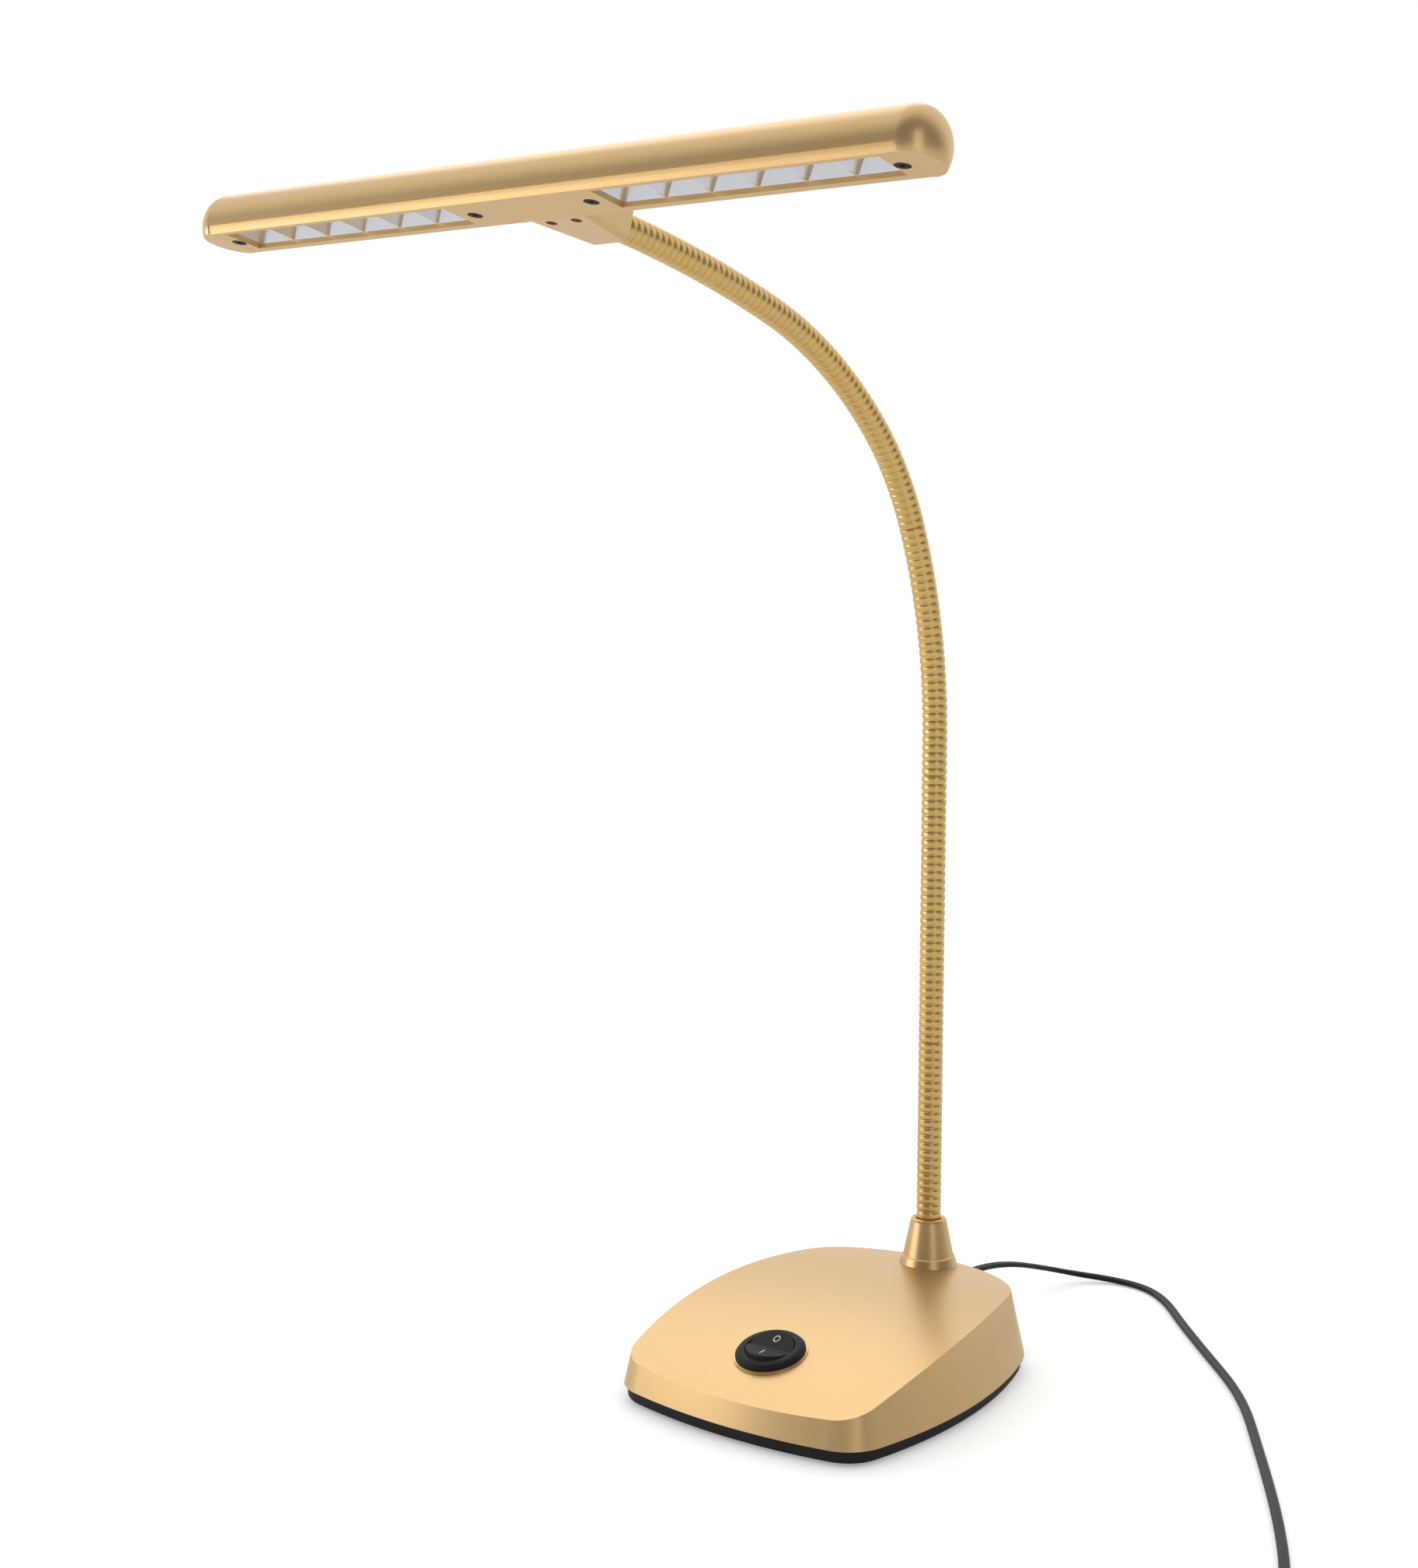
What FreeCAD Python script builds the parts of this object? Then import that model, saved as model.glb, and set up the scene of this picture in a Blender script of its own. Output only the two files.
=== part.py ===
import FreeCAD, Part
import Sketcher
import math
import os

# Piano lamp: weighted base with a rocker switch, ribbed gooseneck, LED bar head and supply lead.
# X runs along the head, -Y is the front edge of the base, Z is up and the table is at zero.

os.makedirs("parts", exist_ok=True)
doc = FreeCAD.newDocument("PianoLamp")
sheet = doc.addObject("Spreadsheet::Sheet", "Sizes")
V = FreeCAD.Vector
UP = V(0, 0, 1)
ALONG = V(1, 0, 0)
BACK = V(0, 1, 0)

SIZES = {
    # Plan of the base, measured from the neck axis
    "neck_offset": 98.64,
    "base_half_width": 53.2,
    "base_front": 119.0,
    "widest_place": 65.7,
    "side_bow_radius": 170.0,
    "front_bow_radius": 180.0,
    "front_corner_radius": 14.0,
    "back_corner_radius": 32.0,
    "back_corner_start": 18.0,
    "back_corner_end": 48.0,
    # Heights and walls of the base
    "foot_height": 1.0,
    "foot_radius": 6.0,
    "foot_recess": 1.0,
    "plate_floor": 2.5,
    "plate_rim_top": 5.5,
    "plate_rim_wall": 2.4,
    "plate_edge_round": 1.4,
    "shell_overhang": 1.2,
    "shell_lean": 0.22,
    "shell_wall": 2.2,
    "front_edge_height": 12.2,
    "crest_height": 27.8,
    "crest_place": 29.8,
    "crown": 1.0,
    "boss_radius": 3.6,
    "screw_radius": 1.4,
    "screw_head_radius": 2.8,
    "screw_head_height": 1.6,
    "base_screw_length": 12.0,
    "front_boss_across": 43.0,
    "front_boss_place": 96.0,
    "back_boss_across": 33.0,
    "back_boss_place": 9.0,
    "front_foot_across": 34.0,
    "front_foot_place": 103.0,
    "back_foot_across": 22.0,
    "back_foot_place": 2.0,
    "fit_gap": 0.1,
    # Ballast and board
    "ballast_width": 80.0,
    "ballast_depth": 52.0,
    "ballast_height": 10.0,
    "ballast_place": 48.0,
    "ballast_screw_gap": 64.0,
    "board_width": 46.0,
    "board_depth": 22.0,
    "board_thickness": 1.6,
    "board_place": 46.0,
    "board_stand": 2.5,
    # Rocker switch
    "switch_place": 93.4,
    "switch_seat_rise": 0.5,
    "switch_seat_depth": 4.0,
    "switch_lip_radius": 12.2,
    "bezel_radius": 11.5,
    "bezel_height": 2.0,
    "switch_hole_radius": 10.0,
    "switch_body_radius": 9.7,
    "switch_body_depth": 9.0,
    "rocker_ball_radius": 8.4,
    "rocker_vee": 13.0,
    "rocker_middle_height": 2.2,
    "switch_cavity_depth": 5.4,
    "rocker_throw": 22.0,
    "rocker_clearance": 0.25,
    "pivot_radius": 1.2,
    "pivot_clearance": 0.06,
    "terminal_width": 4.8,
    "terminal_length": 5.0,
    "terminal_gap": 7.0,
    # Ferrule, stud and nut
    "ferrule_top": 44.0,
    "ferrule_top_radius": 6.3,
    "ferrule_foot_radius": 9.2,
    "ferrule_foot_height": 30.5,
    "skirt_radius": 10.7,
    "skirt_bottom": 22.0,
    "neck_seat_height": 22.4,
    "stud_radius": 4.5,
    "stud_bottom": 13.0,
    "nut_across_flats": 13.0,
    "nut_height": 4.0,
    "washer_radius": 8.0,
    "washer_height": 1.0,
    # Gooseneck
    "neck_radius": 4.3,
    "groove_depth": 0.5,
    "rib_pitch": 2.75,
    "neck_bore_radius": 1.4,
    "lead_radius": 1.0,
    "lead_gap": 0.3,
    "neck_socket_depth": 9.0,
    "straight_run": 169.0,
    "bend_1_radius": 173.0,
    "bend_1_turn": 24.8,
    "bend_2_radius": 102.4,
    "bend_2_turn": 23.4,
    "bend_3_radius": 154.7,
    "bend_3_turn": 23.9,
    "bend_4_radius": 523.0,
    "bend_4_turn": 9.2,
    "knuckle_1": 16.0,
    "knuckle_2": 110.0,
    "knuckle_3": 205.0,
    "knuckle_4_from_end": 149.2,
    "knuckle_5_from_end": 84.2,
    "knuckle_6_from_end": 16.2,
    "knuckle_gap": 0.95,
    "ball_radius": 2.6,
    "ball_clearance": 0.06,
    # Head
    "neck_end_place": 34.258,
    "neck_end_rise": 6.397,
    "head_tilt": 12.0,
    "head_half_length": 121.7,
    "head_tube_radius": 10.0,
    "head_tube_height": 4.3,
    "head_wall": 1.6,
    "head_split": 2.4,
    "cap_bulge": 8.0,
    "cap_plug": 1.4,
    "cover_thickness": 1.4,
    "cover_inset": 0.3,
    "window_inner": 26.5,
    "window_outer": 115.9,
    "window_front": 2.0,
    "window_back": 15.0,
    "cell_count": 6,
    "cell_wall": 0.8,
    "cell_depth": 4.6,
    "cell_top_half": 2.2,
    "led_board_thickness": 1.2,
    "led_size": 3.5,
    "led_height": 0.8,
    "head_lead_place": 4.0,
    "cover_screw_outer": 118.2,
    "cover_screw_inner": 21.0,
    "cover_screw_radius": 0.8,
    "cover_screw_head": 2.1,
    # Bracket between neck and head
    "bracket_half_width": 13.0,
    "bracket_neck_half_width": 7.0,
    "bracket_low": 0.6,
    "bracket_socket": 7.0,
    "bracket_screw_place": 13.0,
    "head_screw_across": 8.0,
    "head_screw_length": 12.0,
    "bracket_height": 10.0,
    "bracket_screw_gap": 9.0,
    # Supply lead
    "cord_radius": 1.6,
    "gland_radius": 3.4,
    "gland_height": 17.0,
    "gland_inside": 10.0,
    "gland_out": 24.0,
    "gland_flange_radius": 4.4,
    "gland_flange_thickness": 1.5,
    "coil_radius": 23.1,
    "coil_pitch": 3.7,
    "coil_rise": 3.7,
    "coil_layers": 4,
    "coil_half_loops": 5,
    "adapter_mouth": 98.0,
    "adapter_exit": 13.5,
    "relief_length": 16.0,
    "pin_place": 12.0,
    "adapter_width": 27.0,
    "adapter_depth": 38.0,
    "adapter_height": 62.0,
    "pin_radius": 2.0,
    "pin_gap": 18.6,
    "pin_length": 19.0,
}

for row, (alias, value) in enumerate(SIZES.items(), start=1):
    sheet.set("A%d" % row, alias)
    sheet.set("B%d" % row, str(value))
    sheet.setAlias("B%d" % row, alias)
doc.recompute()


def size(alias):
    return float(sheet.get(alias))


def named(alias):
    return "Sizes." + alias


neck_y = size("neck_offset")


def origin_plane(body, role):
    for feature in body.Origin.OriginFeatures:
        if feature.Role == role:
            return feature
    raise ValueError(role)


def new_sketch(body, role, name, offset_expression=None):
    sketch = body.newObject("Sketcher::SketchObject", name)
    sketch.AttachmentSupport = (origin_plane(body, role), [""])
    sketch.MapMode = "FlatFace"
    if offset_expression:
        sketch.setExpression("AttachmentOffset.Base.z", offset_expression)
    return sketch


def draw_loop(sketch, points):
    for start, end in zip(points, points[1:] + points[:1]):
        sketch.addGeometry(Part.LineSegment(V(start[0], start[1], 0), V(end[0], end[1], 0)), False)


def draw_circle(sketch, x, y, radius, alias=None):
    index = sketch.addGeometry(Part.Circle(V(x, y, 0), UP, radius), False)
    if alias:
        constraint = sketch.addConstraint(Sketcher.Constraint("Radius", index, radius))
        sketch.setExpression("Constraints[%d]" % constraint, named(alias))


def new_body(label):
    body = doc.addObject("PartDesign::Body", label)
    body.Label = label
    return body


def add_pad(body, sketch, length_expression):
    pad = body.newObject("PartDesign::Pad", sketch.Name + "Pad")
    pad.Profile = sketch
    pad.setExpression("Length", length_expression)
    sketch.Visibility = False
    doc.recompute()
    return pad


def add_pocket(body, sketch, depth_expression, reversed_cut=False):
    before = body.Shape.Volume
    pocket = body.newObject("PartDesign::Pocket", sketch.Name + "Pocket")
    pocket.Profile = sketch
    pocket.setExpression("Length", depth_expression)
    pocket.Reversed = reversed_cut
    doc.recompute()
    if body.Shape.Volume >= before - 1e-6:
        raise RuntimeError("pocket cuts nothing: " + body.Label)
    return pocket


def turned(label, profile):
    """A body turned about Z from (radius, height) corners."""
    body = new_body(label)
    sketch = new_sketch(body, "XZ_Plane", label + "Profile")
    draw_loop(sketch, profile)
    revolution = body.newObject("PartDesign::Revolution", label + "Turn")
    revolution.Profile = sketch
    revolution.ReferenceAxis = (sketch, ["V_Axis"])
    revolution.Angle = 360.0
    doc.recompute()
    return body


def rotation_x(degrees):
    return FreeCAD.Rotation(ALONG, degrees)


def place(obj, position, rotation=None):
    obj.Placement = FreeCAD.Placement(position, rotation or FreeCAD.Rotation())
    doc.recompute()
    return obj


def feature(label, shape):
    obj = doc.addObject("Part::Feature", label)
    obj.Label = label
    obj.Shape = shape
    return obj


def rounded_box(label, width, depth, height, centre, radius):
    """An upright block with round corners; centre is the middle of its underside."""
    body = new_body(label)
    sketch = new_sketch(body, "XY_Plane", label + "Plan")
    half_w = width / 2
    half_d = depth / 2
    draw_loop(sketch, [(-half_w, -half_d), (half_w, -half_d), (half_w, half_d), (-half_w, half_d)])
    pad = body.newObject("PartDesign::Pad", label + "Pad")
    pad.Profile = sketch
    pad.Length = height
    doc.recompute()
    if radius > 0:
        fillet = body.newObject("PartDesign::Fillet", label + "Corners")
        fillet.Base = (pad, upright_edges(pad.Shape))
        fillet.Radius = radius
        doc.recompute()
    return place(body, centre)


def upright_edges(shape):
    names = []
    for number, edge in enumerate(shape.Edges, start=1):
        ends = edge.Vertexes
        if len(ends) == 2:
            run = ends[1].Point.sub(ends[0].Point)
            if abs(run.x) < 1e-6 and abs(run.y) < 1e-6:
                names.append("Edge%d" % number)
    return names


def arc(centre, radius, start, end):
    """An arc in plan from one angle to another, in degrees."""
    def at(angle):
        turn = math.radians(angle)
        return V(centre[0] + radius * math.cos(turn), centre[1] + radius * math.sin(turn), 0)
    return Part.Arc(at(start), at((start + end) / 2), at(end))


def plan_arcs(grow):
    """The eight tangent arcs of the base's plan, moved outwards by grow."""
    side_radius = size("side_bow_radius")
    front_radius = size("front_bow_radius")
    corner_radius = size("front_corner_radius")
    back_radius = size("back_corner_radius")
    start = size("back_corner_start")
    end = size("back_corner_end")
    side = (size("base_half_width") - side_radius, neck_y - size("widest_place"))
    front = (0.0, neck_y - size("base_front") + front_radius)
    # The front corner touches both bows from inside
    to_side = side_radius - corner_radius
    to_front = front_radius - corner_radius
    apart = math.hypot(front[0] - side[0], front[1] - side[1])
    along = (to_side ** 2 - to_front ** 2 + apart ** 2) / (2 * apart)
    across = math.sqrt(to_side ** 2 - along ** 2)
    unit = ((front[0] - side[0]) / apart, (front[1] - side[1]) / apart)
    corner = (side[0] + along * unit[0] + across * unit[1], side[1] + along * unit[1] - across * unit[0])
    turn = math.radians(start)
    inset = side_radius - back_radius
    back_corner = (side[0] + inset * math.cos(turn), side[1] + inset * math.sin(turn))
    turn = math.radians(end)
    bow_radius = back_radius + back_corner[0] / math.cos(turn)
    back = (0.0, back_corner[1] - (bow_radius - back_radius) * math.sin(turn))
    side_end = math.degrees(math.atan2(corner[1] - side[1], corner[0] - side[0]))
    front_end = math.degrees(math.atan2(corner[1] - front[1], corner[0] - front[0]))

    def mirror(centre):
        return (-centre[0], centre[1])

    return [
        arc(back, bow_radius + grow, 180 - end, end),
        arc(back_corner, back_radius + grow, end, start),
        arc(side, side_radius + grow, start, side_end),
        arc(corner, corner_radius + grow, side_end, front_end),
        arc(front, front_radius + grow, front_end, -180 - front_end),
        arc(mirror(corner), corner_radius + grow, -180 - front_end, -180 - side_end),
        arc(mirror(side), side_radius + grow, -180 - side_end, -180 - start),
        arc(mirror(back_corner), back_radius + grow, -180 - start, -180 - end),
    ]


def plan_wire(grow, height):
    wire = Part.Wire([a.toShape() for a in plan_arcs(grow)])
    wire.translate(V(0, 0, height))
    return wire


def crease_height(y):
    """Height of the crease between the top and the sides of the shell at a place along Y."""
    crest = neck_y - size("crest_place")
    front = neck_y - size("base_front")
    fall = (size("crest_height") - size("front_edge_height")) / (crest - front) ** 2
    return size("crest_height") - fall * (y - crest) ** 2


def top_height(y):
    return crease_height(y) + size("crown")


def dome(drop):
    """A block under the shell's crowned top, lowered by drop."""
    half = size("base_half_width") * 1.1
    first = neck_y - size("base_front") * 1.08
    last = neck_y + size("base_front") * 0.3
    steps = 9
    sections = []
    for number in range(steps):
        y = first + (last - first) * number / (steps - 1)
        edge = crease_height(y) - drop
        bottom = -60.0
        roof = Part.Arc(V(-half, y, edge), V(0, y, edge + size("crown")), V(half, y, edge)).toShape()
        lines = Part.makePolygon([V(half, y, edge), V(half, y, bottom), V(-half, y, bottom), V(-half, y, edge)])
        sections.append(Part.Wire([roof] + lines.Edges))
    return Part.makeLoft(sections, True, False)


def leaning_block(grow):
    """A block with the shell's leaning sides, its foot grown by grow."""
    low = size("plate_rim_top")
    high = size("crest_height") + 8.0
    inset = size("shell_lean") * (high - low)
    return Part.makeLoft([plan_wire(grow, low), plan_wire(grow - inset, high)], True, True)


shell_outer = leaning_block(size("shell_overhang")).common(dome(0.0))
shell_inner = leaning_block(size("shell_overhang") - size("shell_wall")).common(dome(size("shell_wall")))

# Local frame of the switch: its origin is on the shell's top, its Z square to the slope there
switch_y = neck_y - size("switch_place")
switch_slope = (top_height(switch_y + 1.0) - top_height(switch_y - 1.0)) / 2.0
switch_turn = rotation_x(math.degrees(math.atan(switch_slope)))
switch_point = V(0, switch_y, top_height(switch_y) + size("switch_seat_rise"))
boss_places = [
    (side * size(across), neck_y - size(along))
    for across, along in (("front_boss_across", "front_boss_place"), ("back_boss_across", "back_boss_place"))
    for side in (-1, 1)
]
floor_top = size("foot_height") + size("plate_floor")


def cylinder(radius, height, centre, axis=UP):
    return Part.makeCylinder(radius, height, centre, axis)


def in_switch(shape):
    shape.Placement = FreeCAD.Placement(switch_point, switch_turn)
    return shape


def build_shell():
    """Cast shell: crowned top, leaning sides, screw bosses, neck seat, switch seat and lead hole."""
    solid = shell_outer.cut(shell_inner)
    for x, y in boss_places:
        boss = cylinder(size("boss_radius"), 60, V(x, y, floor_top)).common(shell_outer.fuse(
            leaning_block(size("shell_overhang") - size("shell_wall"))))
        foot = cylinder(size("boss_radius"), size("plate_rim_top") - floor_top, V(x, y, floor_top))
        solid = solid.fuse(boss.common(shell_outer)).fuse(foot)
    neck_seat = cylinder(size("washer_radius") + 0.6, 60, V(0, neck_y, size("neck_seat_height")))
    solid = solid.fuse(neck_seat.common(shell_outer))
    lip = size("switch_lip_radius")
    seat = cylinder(lip, size("switch_seat_depth"), V(0, 0, -size("switch_seat_depth")))
    solid = solid.fuse(in_switch(seat))
    for x, y in boss_places:
        pilot = cylinder(size("screw_radius"), size("base_screw_length"), V(x, y, floor_top - 1))
        solid = solid.cut(pilot)
    solid = solid.cut(cylinder(size("stud_radius") + size("fit_gap"), 60, V(0, neck_y, 0)))
    solid = solid.cut(cylinder(size("washer_radius") + size("fit_gap"), size("neck_seat_height"), V(0, neck_y, 0)))
    hole = cylinder(size("switch_hole_radius"), 40, V(0, 0, -30))
    solid = solid.cut(in_switch(hole))
    lead_hole = cylinder(size("gland_radius"), 40, V(0, neck_y, size("gland_height")), BACK)
    solid = solid.cut(lead_hole)
    return solid.removeSplitter()


def build_plate():
    """Moulded tray under the shell with counterbored screw holes and shallow foot recesses."""
    low = size("foot_height")
    block = Part.makeFace([plan_wire(0.0, low)], "Part::FaceMakerSimple").extrude(
        V(0, 0, size("plate_rim_top") - low))
    bottom = [e for e in block.Edges if e.BoundBox.ZMax < low + 1e-6]
    block = block.makeFillet(size("plate_edge_round"), bottom)
    hollow = Part.makeFace([plan_wire(-size("plate_rim_wall"), floor_top)], "Part::FaceMakerSimple").extrude(
        V(0, 0, size("plate_rim_top")))
    block = block.cut(hollow)
    for x, y in boss_places:
        block = block.cut(cylinder(size("screw_radius") + size("fit_gap"), 10, V(x, y, 0)))
        block = block.cut(cylinder(size("screw_head_radius") + size("fit_gap"), size("screw_head_height"),
                                   V(x, y, low)))
    for x, y in foot_places:
        block = block.cut(cylinder(size("foot_radius"), size("foot_recess"), V(x, y, low)))
    return block


def boss_screw(x, y, head_bottom, length):
    head = cylinder(size("screw_head_radius"), size("screw_head_height"), V(x, y, head_bottom))
    slot = Part.makeBox(size("screw_head_radius") * 1.3, 0.7, 0.6,
                        V(x - size("screw_head_radius") * 0.65, y - 0.35, head_bottom))
    shank = cylinder(size("screw_radius"), length, V(x, y, head_bottom))
    return head.fuse(shank).cut(slot)


foot_places = [
    (side * size(across), neck_y - size(along))
    for across, along in (("front_foot_across", "front_foot_place"), ("back_foot_across", "back_foot_place"))
    for side in (-1, 1)
]

feature("base_shell", build_shell())
feature("base_plate", build_plate())
feet = [cylinder(size("foot_radius"), size("foot_height") + size("foot_recess"), V(x, y, 0)) for x, y in foot_places]
feature("rubber_feet", Part.makeCompound(feet))
screws = [boss_screw(x, y, size("foot_height"), size("base_screw_length")) for x, y in boss_places]
feature("base_screws", Part.makeCompound(screws))



def build_ballast():
    """Steel block on the plate's floor, with two holes for its own screws."""
    ballast = rounded_box("ballast_block", size("ballast_width"), size("ballast_depth"), size("ballast_height"),
                          V(0, neck_y - size("ballast_place"), floor_top), 5.0)
    holes = new_sketch(ballast, "XY_Plane", "ballastHoles")
    for side in (-1, 1):
        draw_circle(holes, side * size("ballast_screw_gap") / 2, 0, size("screw_radius") + size("fit_gap"))
    add_pocket(ballast, holes, named("ballast_height"), True)
    return ballast


def ballast_screw(side):
    """Pan-head screw through the ballast into the plate's floor."""
    x = side * size("ballast_screw_gap") / 2
    y = neck_y - size("ballast_place")
    top = floor_top + size("ballast_height")
    head = cylinder(size("screw_head_radius"), size("screw_head_height"), V(x, y, top))
    shank = cylinder(size("screw_radius"), size("ballast_height"), V(x, y, floor_top))
    return head.fuse(shank)


build_ballast()
feature("ballast_screws", Part.makeCompound([ballast_screw(-1), ballast_screw(1)]))


def build_neck_foot():
    """Conical ferrule on the shell, its threaded stud, and the washer and nut that hold it from below."""
    skirt_top = size("ferrule_foot_height")
    top = size("ferrule_top")
    bore = size("neck_radius") + size("fit_gap") / 2
    stud_bore = size("stud_radius") + size("fit_gap") / 2
    seat = top - size("neck_socket_depth")
    lip = 1.0
    ferrule = turned("ferrule_sleeve", [
        (stud_bore, size("skirt_bottom")),
        (size("skirt_radius"), size("skirt_bottom")),
        (size("skirt_radius"), size("skirt_bottom") + 3.2),
        (size("skirt_radius") - 0.9, skirt_top - 2.0),
        (size("ferrule_foot_radius"), skirt_top),
        (size("ferrule_foot_radius") - 0.4, skirt_top + 0.3),
        (size("ferrule_top_radius"), top - lip),
        (size("ferrule_top_radius") - lip * 0.4, top - lip * 0.3),
        (size("ferrule_top_radius") - lip, top),
        (bore, top - lip * 0.4),
        (bore, seat),
        (stud_bore, seat),
    ])
    place(ferrule, V(0, neck_y, 0))
    shell_block = doc.addObject("Part::Feature", "shell_block")
    shell_block.Shape = shell_outer
    seated = doc.addObject("Part::Cut", "neck_ferrule")
    seated.Base = ferrule
    seated.Tool = shell_block
    seated.Label = "neck_ferrule"
    inner = size("stud_radius") - 1.6
    stud = turned("neck_stud", [
        (inner, size("stud_bottom")),
        (size("stud_radius"), size("stud_bottom")),
        (size("stud_radius"), seat),
        (inner, seat),
    ])
    place(stud, V(0, neck_y, 0))
    washer = turned("neck_washer", [
        (size("stud_radius") + size("fit_gap"), size("neck_seat_height") - size("washer_height")),
        (size("washer_radius"), size("neck_seat_height") - size("washer_height")),
        (size("washer_radius"), size("neck_seat_height")),
        (size("stud_radius") + size("fit_gap"), size("neck_seat_height")),
    ])
    place(washer, V(0, neck_y, 0))
    nut = new_body("neck_nut")
    plan = new_sketch(nut, "XY_Plane", "nutPlan")
    corner = size("nut_across_flats") / math.sqrt(3)
    draw_loop(plan, [(corner * math.cos(math.radians(60 * k)), corner * math.sin(math.radians(60 * k)))
                     for k in range(6)])
    draw_circle(plan, 0, 0, size("stud_radius") + size("fit_gap") / 2)
    add_pad(nut, plan, named("nut_height"))
    place(nut, V(0, neck_y, size("neck_seat_height") - size("washer_height") - size("nut_height")))


build_neck_foot()

# Rocker switch, built about the pivot in the switch's own frame
pivot_height = -0.6
ball = size("rocker_ball_radius")


def build_switch():
    """Round bezel and housing in one moulding with a ball-shaped seat for the rocker."""
    bezel_edge = size("bezel_radius")
    body = size("switch_body_radius")
    rim = size("bezel_height")
    depth = size("switch_body_depth")
    moulding = turned("switch_moulding", [
        (0, -depth), (body, -depth), (body, 0), (bezel_edge, 0), (bezel_edge, rim * 0.35),
        (bezel_edge - 0.9, rim * 0.85), (bezel_edge - 1.8, rim), (0, rim),
    ])
    solid = moulding.Shape
    cavity = Part.makeSphere(ball + size("rocker_clearance"), V(0, 0, pivot_height))
    cavity = cavity.common(Part.makeBox(40, 40, 40, V(-20, -20, -size("switch_cavity_depth"))))
    solid = solid.cut(cavity)
    bore = size("pivot_radius") + size("pivot_clearance")
    solid = solid.cut(cylinder(bore, 2 * body, V(-body, 0, pivot_height), ALONG))
    feature("switch_bezel", in_switch(solid))


def build_rocker():
    """Ball-sided rocker with a shallow vee top, tipped so that its front end is pressed in."""
    solid = Part.makeSphere(ball, V(0, 0, pivot_height))
    solid = solid.common(Part.makeBox(40, 40, 40, V(-20, -20, pivot_height - 1.0)))
    slope = size("rocker_vee")
    for side in (-1, 1):
        cutter = Part.makeBox(40, 40, 20, V(-20, 0 if side > 0 else -40, 0))
        cutter.rotate(V(0, 0, 0), ALONG, side * slope)
        cutter.translate(V(0, 0, pivot_height + size("rocker_middle_height")))
        solid = solid.cut(cutter)
    reach = size("switch_body_radius") - 0.3
    solid = solid.fuse(cylinder(size("pivot_radius"), 2 * reach, V(-reach, 0, pivot_height), ALONG))
    solid.rotate(V(0, 0, pivot_height), ALONG, size("rocker_throw") / 2)
    feature("switch_rocker", in_switch(solid))


def build_terminals():
    """Two brass blades under the switch."""
    blades = []
    for side in (-1, 1):
        y = side * size("terminal_gap") / 2
        length = size("terminal_length")
        corner = V(-size("terminal_width") / 2, y - 0.4, -size("switch_body_depth") - length)
        blades.append(in_switch(Part.makeBox(size("terminal_width"), 0.8, length, corner)))
    feature("switch_terminals", Part.makeCompound(blades))


build_switch()
build_rocker()
build_terminals()


def round_lead(points, radius):
    """A lead of straight runs with ball corners."""
    solid = None
    for start, end in zip(points, points[1:]):
        run = end.sub(start)
        piece = cylinder(radius, run.Length, start, run)
        solid = piece if solid is None else solid.fuse(piece)
    for corner in points[1:-1]:
        solid = solid.fuse(Part.makeSphere(radius, corner))
    return solid


board_bottom = floor_top + size("ballast_height") + size("board_stand")
board_y = neck_y - size("board_place")


def build_board():
    """Driver board on spacers over the ballast, with its tall parts and its leads."""
    board = rounded_box("driver_board", size("board_width"), size("board_depth"), size("board_thickness"),
                        V(0, board_y, board_bottom), 1.5)
    holder = []
    spread = (size("board_width") / 2 - 3.5, size("board_depth") / 2 - 3.5)
    for x in (-1, 1):
        for y in (-1, 1):
            holder.append(cylinder(2.2, size("board_stand"),
                                   V(x * spread[0], board_y + y * spread[1], board_bottom - size("board_stand"))))
    feature("board_spacers", Part.makeCompound(holder))
    top = board_bottom + size("board_thickness")
    tall = [
        cylinder(3.2, 5.0, V(-12, board_y + 2, top)),
        cylinder(4.0, 3.6, V(-1, board_y, top)),
        Part.makeBox(7, 6, 2.0, V(7, board_y - 3, top)),
    ]
    feature("board_parts", Part.makeCompound(tall))
    return board


build_board()
board_top = board_bottom + size("board_thickness")


def build_base_leads():
    """Leads from the board to the switch, up the stud and out to the gland."""
    radius = 0.8
    side = 14.0
    rise = radius
    up = board_top + rise
    stud_low = size("stud_bottom") - 3.0
    ballast_back = neck_y - size("ballast_place") + size("ballast_depth") / 2
    flange_start = size("gland_inside") - size("gland_flange_thickness") - size("fit_gap")
    blade = switch_turn.multVec(V(0, size("terminal_gap") / 2 + 1.3, -size("switch_body_depth") - 2.5)).add(switch_point)
    front = [
        blade.add(V(1.4, 0, 0)),
        V(blade.x + 1.4, board_y - size("board_depth") / 2 - 2, up),
        V(blade.x + 1.4, board_y - size("board_depth") / 2 + 1.6, up),
    ]
    neck = [
        V(0, board_y + size("board_depth") / 2 - 3, up),
        V(0, ballast_back + 1.5, up),
        V(0, neck_y - 7.5, stud_low),
        V(0, neck_y, stud_low),
        V(0, neck_y, size("ferrule_top") - size("neck_socket_depth") - 0.3),
    ]
    back = [
        V(side, board_y + size("board_depth") / 2 - 2.4, up),
        V(side, ballast_back + 1.5, up),
        V(side, neck_y, stud_low + 1.5),
        V(0.4, neck_y + flange_start - 1.2, size("gland_height")),
    ]
    feature("base_leads", Part.makeCompound([round_lead(front, radius), round_lead(neck, radius),
                                             round_lead(back, radius)]))


build_base_leads()

# Gooseneck: a straight run and four bends, all in the plane X = 0
neck_runs = [(size("straight_run"), 0.0)] + [
    (size("bend_%d_radius" % n) * math.radians(size("bend_%d_turn" % n)), size("bend_%d_turn" % n))
    for n in (1, 2, 3, 4)
]
neck_length = sum(length for length, _ in neck_runs)


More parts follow.
